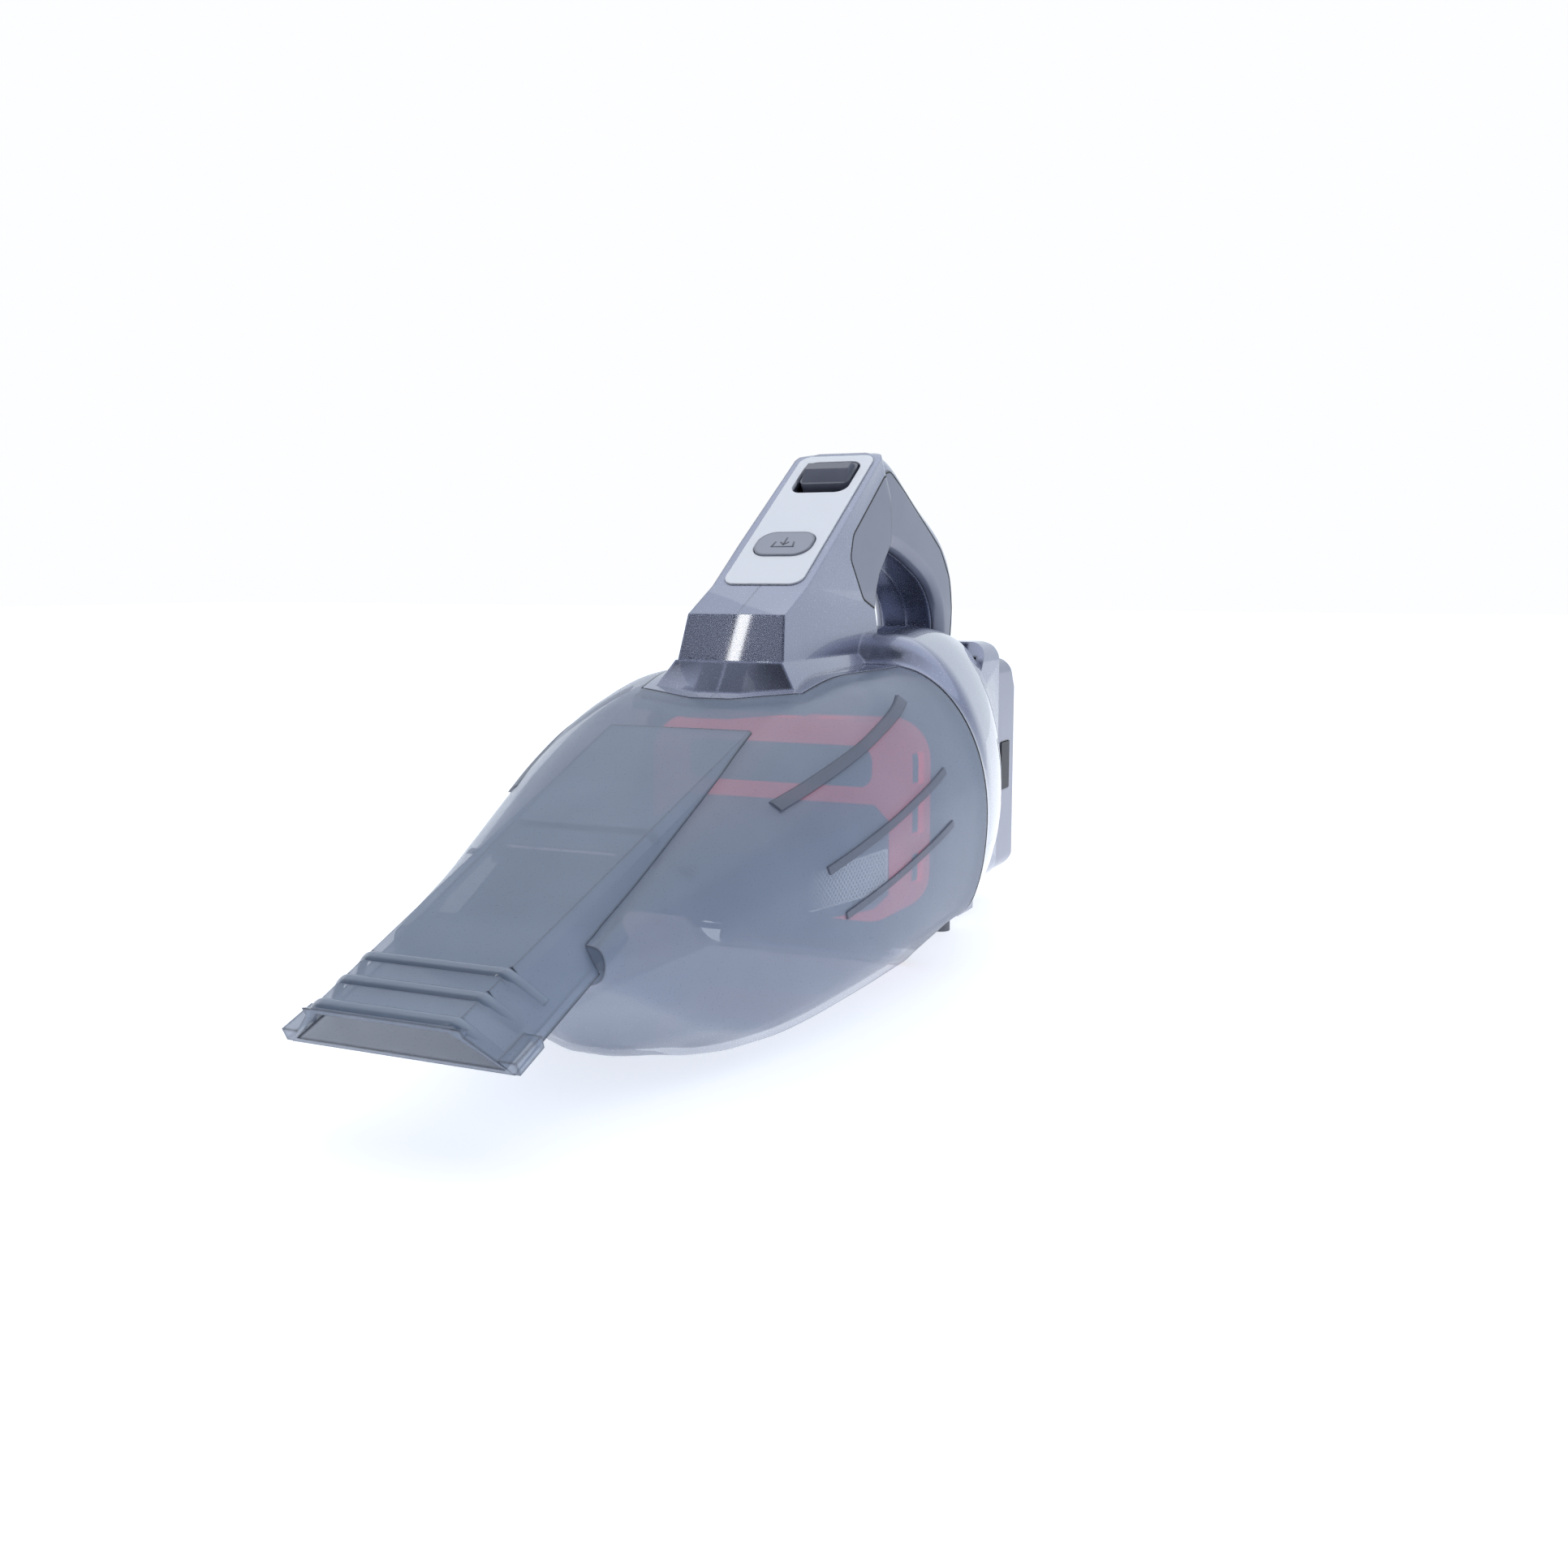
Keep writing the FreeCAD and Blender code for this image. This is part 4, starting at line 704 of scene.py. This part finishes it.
@dataclass
class HousingAssembly(Assembly):
    """Gloss shells, soft grips, bulkhead, gasket and fixings.

    Attributes:
        panel_back: Y and Z in millimetres of the soft panels' edge over the top and down the back.
        panel_front: Y and Z in millimetres of their edge along the pillar and the finger gap.
        hood: X and Y in millimetres of the hood's outline from above.
        hood_middle: Y from which the bowl's height is read a little outside the hood.
        hood_flatness: weight of Y against X in that direction.
        hood_outset_mm: how far outside it is read, in millimetres.
        pitch: spacing of the places along a seam.
        panel_line: width of the painted shade along the panels' seams.
        hood_line: width of the painted shadow along the hood's seam.
        rim_line: width of the painted shade along the rim's seam.
        rim_rise: height of the painted shade strip at the rim.
        rim_turns: first angle, end and step of the rim's seam in degrees.
        rim_y: Y of the rim's seam.
        rim_probe: Y at which the bowl's wall is read for it.
        rim_middle: height from which it is laid out.
        gasket_middle: height about which the gasket is drawn out.
        gasket_growth: growth of the gasket across and up.
    """

    panel_back: Sequence[Flat] = ((90, 192), (104, 195.2), (122, 187.3), (146, 174.8), (167, 163.6),
                                  (178.8, 151), (182.6, 137), (180.4, 123.6))
    panel_front: Sequence[Flat] = ((90, 192), (56.5, 168), (54, 159), (68, 143), (84, 138))
    hood: Sequence[Flat] = ((-41.2, 52.0), (-40, 42), (-32.2, -18.2), (-8, -26.2), (8, -26.2),
                            (32.2, -18.2), (40, 42), (41.2, 52.0))
    hood_middle: float = 40 * MM
    hood_flatness: float = 0.4
    hood_outset_mm: float = 0.7
    pitch: float = 1.2 * MM
    panel_line: float = 0.9 * MM
    hood_line: float = 1.5 * MM
    rim_line: float = 1.2 * MM
    rim_rise: float = 0.04 * MM
    rim_turns: tuple[int, int, int] = (-38, 54, 2)
    rim_y: float = 52.6 * MM
    rim_probe: float = 51.2 * MM
    rim_middle: float = 60 * MM
    gasket_middle: float = 62 * MM
    gasket_growth: Flat = (1.007, 1.009)
    finishes = {"housing_right": GLOSS, "housing_left": GLOSS, "lower_cover": GLOSS, "grip_right": SOFT,
                "grip_left": SOFT, "housing_screws": STEEL, "front_bulkhead": BLACK, "bowl_seal": SEAL_AND_SEAM_SHADE,
                "hinge_pin": STEEL, "rear_feet": FOOT, "belly_skid": SKID}

    def add_trim(self) -> None:
        """Draw painted shade along the seams and bring the gasket to the surface."""
        for side, word in ((1, "right"), (-1, "left")):
            self._panel_seam_shades(side, word)
        self._hood_seam_shade()
        for side, word in ((1, "right"), (-1, "left")):
            self._rim_seam_shade(side, word)
        self._draw_out_gasket()

    def _panel_seam_shades(self, side: int, word: str) -> None:
        """Draw painted shade along the seams round the soft panel of one side.

        Args:
            side: 1 for +X, -1 for -X.
            word: name of the side.
        """
        for edge, points in (("back", self.panel_back), ("front", self.panel_front)):
            flat = eased(resampled([(y * MM, z * MM) for y, z in points], self.pitch))
            path = [(Vector((0, p.x, p.y)), Vector((0, p.x, p.y)), Vector((-side, 0, 0))) for p in flat]
            seam_shade("panel_seam_shade_%s_%s" % (edge, word), path, ("grip_" + word, "housing_" + word),
                 self.panel_line, "housing")

    def _hood_seam_shade(self) -> None:
        """Draw the painted shadow along the seam round the hood, on the bowl."""
        flat = eased(resampled([(x * MM, y * MM) for x, y in self.hood], self.pitch))
        path = []
        for p in flat:
            outward = Vector((p.x, self.hood_flatness * (p.y - self.hood_middle))).normalized()
            outward = outward * self.hood_outset_mm * MM
            path.append((Vector((p.x, p.y, 0)), Vector((p.x + outward.x, p.y + outward.y, 0)),
                         Vector((0, 0, -1))))
        seam_shade("hood_seam_shade", path, ("dust_bowl", "nozzle"), self.hood_line, "housing")

    def _rim_seam_shade(self, side: int, word: str) -> None:
        """Draw painted shade along the seam between bowl and housing on one side, up to the hood.

        Args:
            side: 1 for +X, -1 for -X.
            word: name of the side.
        """
        place, probe = (Vector((0, y, self.rim_middle)) for y in (self.rim_y, self.rim_probe))
        path = []
        for step in range(*self.rim_turns):
            turn = math.radians(step)
            path.append((place, probe, Vector((-side * math.cos(turn), 0, -math.sin(turn)))))
        seam_shade("rim_seam_shade_" + word, path, ("dust_bowl",), self.rim_line, "housing", self.rim_rise)

    def _draw_out_gasket(self) -> None:
        """Draw the gasket out to the surface."""
        across, up = self.gasket_growth
        for vertex in bpy.data.objects["bowl_seal_skin"].data.vertices:
            vertex.co.x *= across
            vertex.co.z = self.gasket_middle + (vertex.co.z - self.gasket_middle) * up


@dataclass
class Controls(Assembly):
    """Plate, push button, thumb switch and latch.

    Attributes:
        icon_width: width of the sign on the push button.
        line: width of the sign's lines.
        rise: how far the sign stands above the button.
        edge: bevel of the sign's edges.
        slope: angle in radians between the control face and the floor.
        face_depth: vertices within this depth below the highest belong to the button's face.
        tray: height of the tray's floor and of the ends of its sides, from the sign's middle.
        tray_lean: how far the sides' ends stand out, as a share of the half width.
        shaft: height of the two ends of the arrow's shaft.
        tip: height of the arrow's tip.
        barb: sideways and upward place of the arrow's barbs.
    """

    icon_width: float = 9.0 * MM
    line: float = 0.7 * MM
    rise: float = 0.12 * MM
    edge: float = 0.08 * MM
    slope: float = math.radians(34.8)
    face_depth: float = 0.1 * MM
    tray: Flat = (-2.4 * MM, 0.6 * MM)
    tray_lean: float = 0.86
    shaft: Flat = (3.4 * MM, -0.9 * MM)
    tip: float = -1.0 * MM
    barb: Flat = (1.5 * MM, 0.5 * MM)
    finishes = {"control_plate": SILVER, "empty_button": BUTTON, "power_slider": SLIDER,
                "switch_body": BLACK, "latch_lever": BLACK, "latch_pin": STEEL}

    def add_trim(self) -> None:
        """Add the tray-and-arrow sign on the push button."""
        bars = [self._stroke(start, end) for start, end in self._strokes()]
        for bar in bars:
            bar.select_set(True)
        bpy.context.view_layer.objects.active = bars[0]
        bpy.ops.object.join()
        sign = bars[0]
        sign.name = "empty_sign"
        modifier(sign, "BEVEL", width=self.edge, segments=2, limit_method="ANGLE")
        sign.matrix_world = self._face()
        settle(sign)
        dress(sign, SLIDER)
        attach(sign, "button")
        log.info("added %s with %s", sign.name, SLIDER.name)

    def _strokes(self) -> list[tuple[Flat, Flat]]:
        """Lay out the lines of the sign: a tray, and an arrow that points into it.

        Returns:
            Both ends of every line.
        """
        half, (floor, ends) = self.icon_width / 2, self.tray
        out, up = self.barb
        return [((-half, floor), (half, floor)), ((-half, floor), (-half * self.tray_lean, ends)),
                ((half, floor), (half * self.tray_lean, ends)), ((0, self.shaft[0]), (0, self.shaft[1])),
                ((0, self.tip), (-out, up)), ((0, self.tip), (out, up))]

    def _stroke(self, start: Flat, end: Flat) -> bpy.types.Object:
        """Make one line of the sign, lying flat.

        Args:
            start: one end.
            end: other end.

        Returns:
            The new bar.
        """
        (x0, y0), (x1, y1) = start, end
        run = Vector((x1 - x0, y1 - y0))
        bpy.ops.object.select_all(action="DESELECT")
        bpy.ops.mesh.primitive_cube_add(size=1.0)
        bar = bpy.context.object
        bar.scale = (run.length + self.line, self.line, 2 * self.rise)
        bar.rotation_euler = Euler((0, 0, math.atan2(run.y, run.x)))
        bar.location = ((x0 + x1) / 2, (y0 + y1) / 2, 0)
        bpy.ops.object.transform_apply(location=True, rotation=True, scale=True)
        return bar

    def _face(self) -> Matrix:
        """Find the place of the push button's face.

        Returns:
            A place with its middle on the face and its Z out of it.
        """
        across = Vector((1, 0, 0))
        up = Vector((0, math.cos(self.slope), math.sin(self.slope)))
        out = Vector((0, -math.sin(self.slope), math.cos(self.slope)))
        points = [vertex.co for vertex in frame["nodes"]["empty_button"].data.vertices]
        top = max(point.dot(out) for point in points)
        face = [point for point in points if point.dot(out) > top - self.face_depth]
        middle = Vector((0.0, 0.0, 0.0))
        for corner in face:
            middle += corner / len(face)
        return Matrix.Translation(middle) @ Matrix((across, up, out)).transposed().to_4x4()


@dataclass
class FilterPack(Assembly):
    """Red frame, pre-filter screen with its mesh, and pleated filter.

    Attributes:
        pitch: spacing of the mesh's strands.
        strand: thickness of a strand.
        end_gaps: distance of the mesh from the front and the rear end of the screen.
        band: how deep the screen's end faces are read.
        short: how much lower the mesh is than the screen.
        foot: height of the mesh's lower edge above the screen's, at its rear.
        lift: distance of the mesh from the screen.
        taper: share of its height at the front, and what is added up to the rear.
    """

    pitch: float = 2.4 * MM
    strand: float = 0.7 * MM
    end_gaps: Flat = (3 * MM, 2 * MM)
    band: float = MM
    short: float = 24 * MM
    foot: float = 8 * MM
    lift: float = 0.1 * MM
    taper: Flat = (0.86, 0.14)
    finishes = {"filter_frame": RED, "prefilter_screen": SHADED_CORE, "pleated_filter": PAPER}

    def add_trim(self) -> None:
        """Lay a diamond mesh on both sides of the screen."""
        low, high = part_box("prefilter_screen")
        points = [v.co for v in frame["nodes"]["prefilter_screen"].data.vertices]
        for side, name in ((1, "screen_mesh_right"), (-1, "screen_mesh_left")):
            front = max(side * p.x for p in points if p.y < low.y + self.band)
            rear = max(side * p.x for p in points if p.y > high.y - self.band)
            self._panel(name, side, (low.y + self.end_gaps[0], front), (high.y - self.end_gaps[1], rear),
                        (low.z, high.z))

    def _panel(self, name: str, side: int, start: Flat, end: Flat, span: Flat) -> None:
        """Make one panel of mesh.

        Args:
            name: name of the piece.
            side: 1 for +X, -1 for -X.
            start: Y and half width at its front.
            end: Y and half width at its rear.
            span: lowest and highest Z of the screen.
        """
        long, tall = end[0] - start[0], (span[1] - span[0]) - self.short
        columns, rows = int(long / self.pitch), int(tall / self.pitch)
        panel = self._diamonds(name, columns, rows)
        height = span[0] + self.foot + tall / 2
        for vertex in panel.data.vertices:
            along, up = vertex.co.x + 0.5, vertex.co.y
            y = start[0] + along * long
            reach = start[1] + (end[1] - start[1]) * (y - start[0]) / long
            vertex.co = (side * (reach + self.lift), y,
                         height + up * tall * (self.taper[0] + self.taper[1] * along))
        modifier(panel, "WIREFRAME", thickness=self.strand, use_even_offset=False)
        settle(panel)
        dress(panel, MESH)
        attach(panel, "housing")
        log.info("added %s with %s", name, MESH.name)

    def _diamonds(self, name: str, columns: int, rows: int) -> bpy.types.Object:
        """Make a unit sheet whose faces are diamonds.

        Args:
            name: name of the piece.
            columns: squares along it before they are turned.
            rows: squares up it.

        Returns:
            The new object.
        """
        bpy.ops.object.select_all(action="DESELECT")
        bpy.ops.mesh.primitive_grid_add(x_subdivisions=columns, y_subdivisions=rows, size=1.0)
        panel = bpy.context.object
        panel.name = name
        bpy.ops.object.mode_set(mode="EDIT")
        bpy.ops.mesh.select_all(action="SELECT")
        bpy.ops.mesh.poke()
        bpy.ops.object.mode_set(mode="OBJECT")
        square = {e.index for e in panel.data.edges if self._along_axis(panel.data, e, columns, rows)}
        only(panel)
        bpy.ops.object.mode_set(mode="EDIT")
        bpy.ops.mesh.select_mode(type="EDGE")
        bpy.ops.mesh.select_all(action="DESELECT")
        bpy.ops.object.mode_set(mode="OBJECT")
        for edge in panel.data.edges:
            edge.select = edge.index in square
        bpy.ops.object.mode_set(mode="EDIT")
        bpy.ops.mesh.dissolve_edges(use_verts=False)
        bpy.ops.object.mode_set(mode="OBJECT")
        return panel

    @staticmethod
    def _along_axis(mesh: bpy.types.Mesh, edge: bpy.types.MeshEdge, columns: int, rows: int) -> bool:
        """Whether an inner edge of the sheet runs along one of its axes.

        Args:
            mesh: the sheet.
            edge: edge of it.
            columns: squares along it.
            rows: squares up it.

        Returns:
            True for an edge that has to go.
        """
        a, b = (mesh.vertices[i].co for i in edge.vertices)
        on_rim = all(max(abs(p.x), abs(p.y)) > 0.499 for p in (a, b))
        return not on_rim and min(abs(a.x - b.x), abs(a.y - b.y)) < 0.05 / max(columns, rows)


class Motor(Assembly):
    """Fan, motor and the mounts that hold them."""

    finishes = {"fan_shroud": BLACK, "diffuser": BLACK, "motor_can": ZINC, "front_bush": BRONZE,
                "motor_magnets": MAGNET, "end_bell": BLACK, "motor_shaft": STEEL, "armature": WOUND,
                "motor_mount": SEAL_AND_SEAM_SHADE, "motor_cradle": BLACK, "fan_impeller": BLACK}


class Electrics(Assembly):
    """Circuit board, terminals and battery pack."""

    finishes = {"circuit_board": BOARD, "terminal_block": BLACK, "battery_shell": PACK,
                "battery_cells": WRAP, "battery_contacts": BRASS, "catch_right": CATCH, "catch_left": CATCH}


# ---------------------------------------------------------------- studio


@dataclass
class Studio:
    """White room with soft light, a pale floor and the camera.

    Attributes:
        lens: focal length in millimetres.
        eye: place of the camera.
        tilt: camera's rotation about X in degrees.
        heading: camera's rotation about Z in degrees.
        softboxes: name, place, target, size and power of each area light.
        sensor: width of the camera's sensor in millimetres.
        clip_start: nearest distance that the camera sees.
        backdrop: colour of the room as the camera sees it.
        daylight: colour of the light that the room gives.
        dark_side: direction in which the room is dark for reflections.
        dark_range: how near that direction the light starts to fall and is gone.
        strengths: strength of the light outside and inside of the dark side.
        floor_size: length of the floor's sides.
        floor_colour: its colour.
        floor_rough: its roughness.
        floor_light: colour of the light it gives.
        floor_strength: strength of that light.
    """

    lens: float = 37.27
    eye: tuple[float, float, float] = (0.2674, -0.5334, 0.1536)
    tilt: float = 82.58
    heading: float = 25.18
    softboxes: Sequence[tuple[str, Point, Point, Flat, float]] = (
        ("top_softbox", (0.1, 0.15, 1.1), (0.0, 0.0, 0.05), (1.6, 1.6), 4.5),
        ("left_softbox", (-1.1, -0.1, 0.5), (0.0, 0.0, 0.1), (1.0, 0.9), 2.5),
        ("strip_light", (-0.46, -0.806, 0.677), (0.0, -0.01, 0.123), (0.012, 0.4), 0.3))
    sensor: float = 36.0
    clip_start: float = 0.01
    backdrop: Colour = (0.985, 0.99, 1.0)
    daylight: Colour = (0.84, 0.91, 1.0)
    dark_side: Point = (-0.1, -0.95, 0.1)
    dark_range: Flat = (0.12, 0.66)
    strengths: Flat = (0.98, 0.0)
    floor_size: float = 12.0
    floor_colour: Colour = (0.62, 0.64, 0.68)
    floor_rough: float = 0.6
    floor_light: Colour = (0.95, 0.97, 1.0)
    floor_strength: float = 0.68

    def build(self) -> None:
        """Set up the room, the lights and the camera."""
        scene = bpy.context.scene
        scene.view_settings.view_transform = "Standard"
        self._world(scene)
        self._floor()
        for softbox in self.softboxes:
            self._softbox(*softbox)
        self._camera(scene)

    def _camera(self, scene: bpy.types.Scene) -> None:
        """Place the camera.

        Args:
            scene: scene that it looks at.
        """
        camera = bpy.data.objects.new("camera", bpy.data.cameras.new("camera"))
        camera.data.lens, camera.data.sensor_width = self.lens, self.sensor
        camera.data.clip_start = self.clip_start
        camera.location = self.eye
        camera.rotation_euler = (math.radians(self.tilt), 0.0, math.radians(self.heading))
        scene.collection.objects.link(camera)
        scene.camera = camera

    def _world(self, scene: bpy.types.Scene) -> None:
        """Light the room: white to look at, with a dark side in front for reflections.

        Args:
            scene: scene that it surrounds.
        """
        world = bpy.data.worlds.new("studio")
        scene.world = world
        world.use_nodes = True
        tree = world.node_tree
        tree.nodes.clear()
        out = tree.nodes.new("ShaderNodeOutputWorld")
        seen, lit = (tree.nodes.new("ShaderNodeBackground") for _ in range(2))
        seen.inputs["Color"].default_value = (*self.backdrop, 1.0)
        seen.inputs["Strength"].default_value = 1.0
        heading = tree.nodes.new("ShaderNodeTexCoord").outputs["Generated"]
        toward = tree.nodes.new("ShaderNodeVectorMath")
        toward.operation = "DOT_PRODUCT"
        toward.inputs[1].default_value = Vector(self.dark_side).normalized()
        tree.links.new(heading, toward.inputs[0])
        ramp = tree.nodes.new("ShaderNodeMapRange")
        ramp.interpolation_type = "SMOOTHSTEP"
        ramp.inputs["From Min"].default_value, ramp.inputs["From Max"].default_value = self.dark_range
        ramp.inputs["To Min"].default_value, ramp.inputs["To Max"].default_value = self.strengths
        tree.links.new(toward.outputs["Value"], ramp.inputs["Value"])
        tree.links.new(ramp.outputs["Result"], lit.inputs["Strength"])
        lit.inputs["Color"].default_value = (*self.daylight, 1.0)
        rays = tree.nodes.new("ShaderNodeLightPath")
        mix = tree.nodes.new("ShaderNodeMixShader")
        tree.links.new(rays.outputs["Is Camera Ray"], mix.inputs["Fac"])
        tree.links.new(lit.outputs["Background"], mix.inputs[1])
        tree.links.new(seen.outputs["Background"], mix.inputs[2])
        tree.links.new(mix.outputs["Shader"], out.inputs["Surface"])

    def _floor(self) -> None:
        """Lay the pale floor."""
        bpy.ops.object.select_all(action="DESELECT")
        bpy.ops.mesh.primitive_plane_add(size=self.floor_size, location=(0.0, 0.0, 0.0))
        floor = bpy.context.object
        floor.name = "floor"
        material = bpy.data.materials.new("floor_white")
        material.use_nodes = True
        shader = material.node_tree.nodes["Principled BSDF"]
        shader.inputs["Base Color"].default_value = (*self.floor_colour, 1.0)
        shader.inputs["Roughness"].default_value = self.floor_rough
        shader.inputs["Emission Color"].default_value = (*self.floor_light, 1.0)
        shader.inputs["Emission Strength"].default_value = self.floor_strength
        floor.data.materials.append(material)

    @staticmethod
    def _softbox(name: str, place: Point, target: Point, spread: Flat, power: float) -> None:
        """Hang one area light.

        Args:
            name: name of the light.
            place: where it hangs.
            target: point that it is aimed at.
            spread: its width and height.
            power: its power in watts.
        """
        light = bpy.data.lights.new(name, "AREA")
        light.shape = "RECTANGLE"
        light.size, light.size_y = spread
        light.energy = power
        lamp = bpy.data.objects.new(name, light)
        lamp.location = place
        lamp.rotation_euler = (Vector(target) - Vector(place)).to_track_quat("-Z", "Y").to_euler()
        bpy.context.scene.collection.objects.link(lamp)


def main() -> None:
    """Build the studio and every sub-assembly."""
    logging.basicConfig(level=logging.INFO)
    Studio().build()
    assemblies: Iterable[Assembly] = (BowlAssembly(), HousingAssembly(), Controls(), FilterPack(), Motor(),
                                      Electrics())
    for assembly in assemblies:
        assembly.build()
    bpy.context.view_layer.update()


if __name__ == "__main__":
    main()
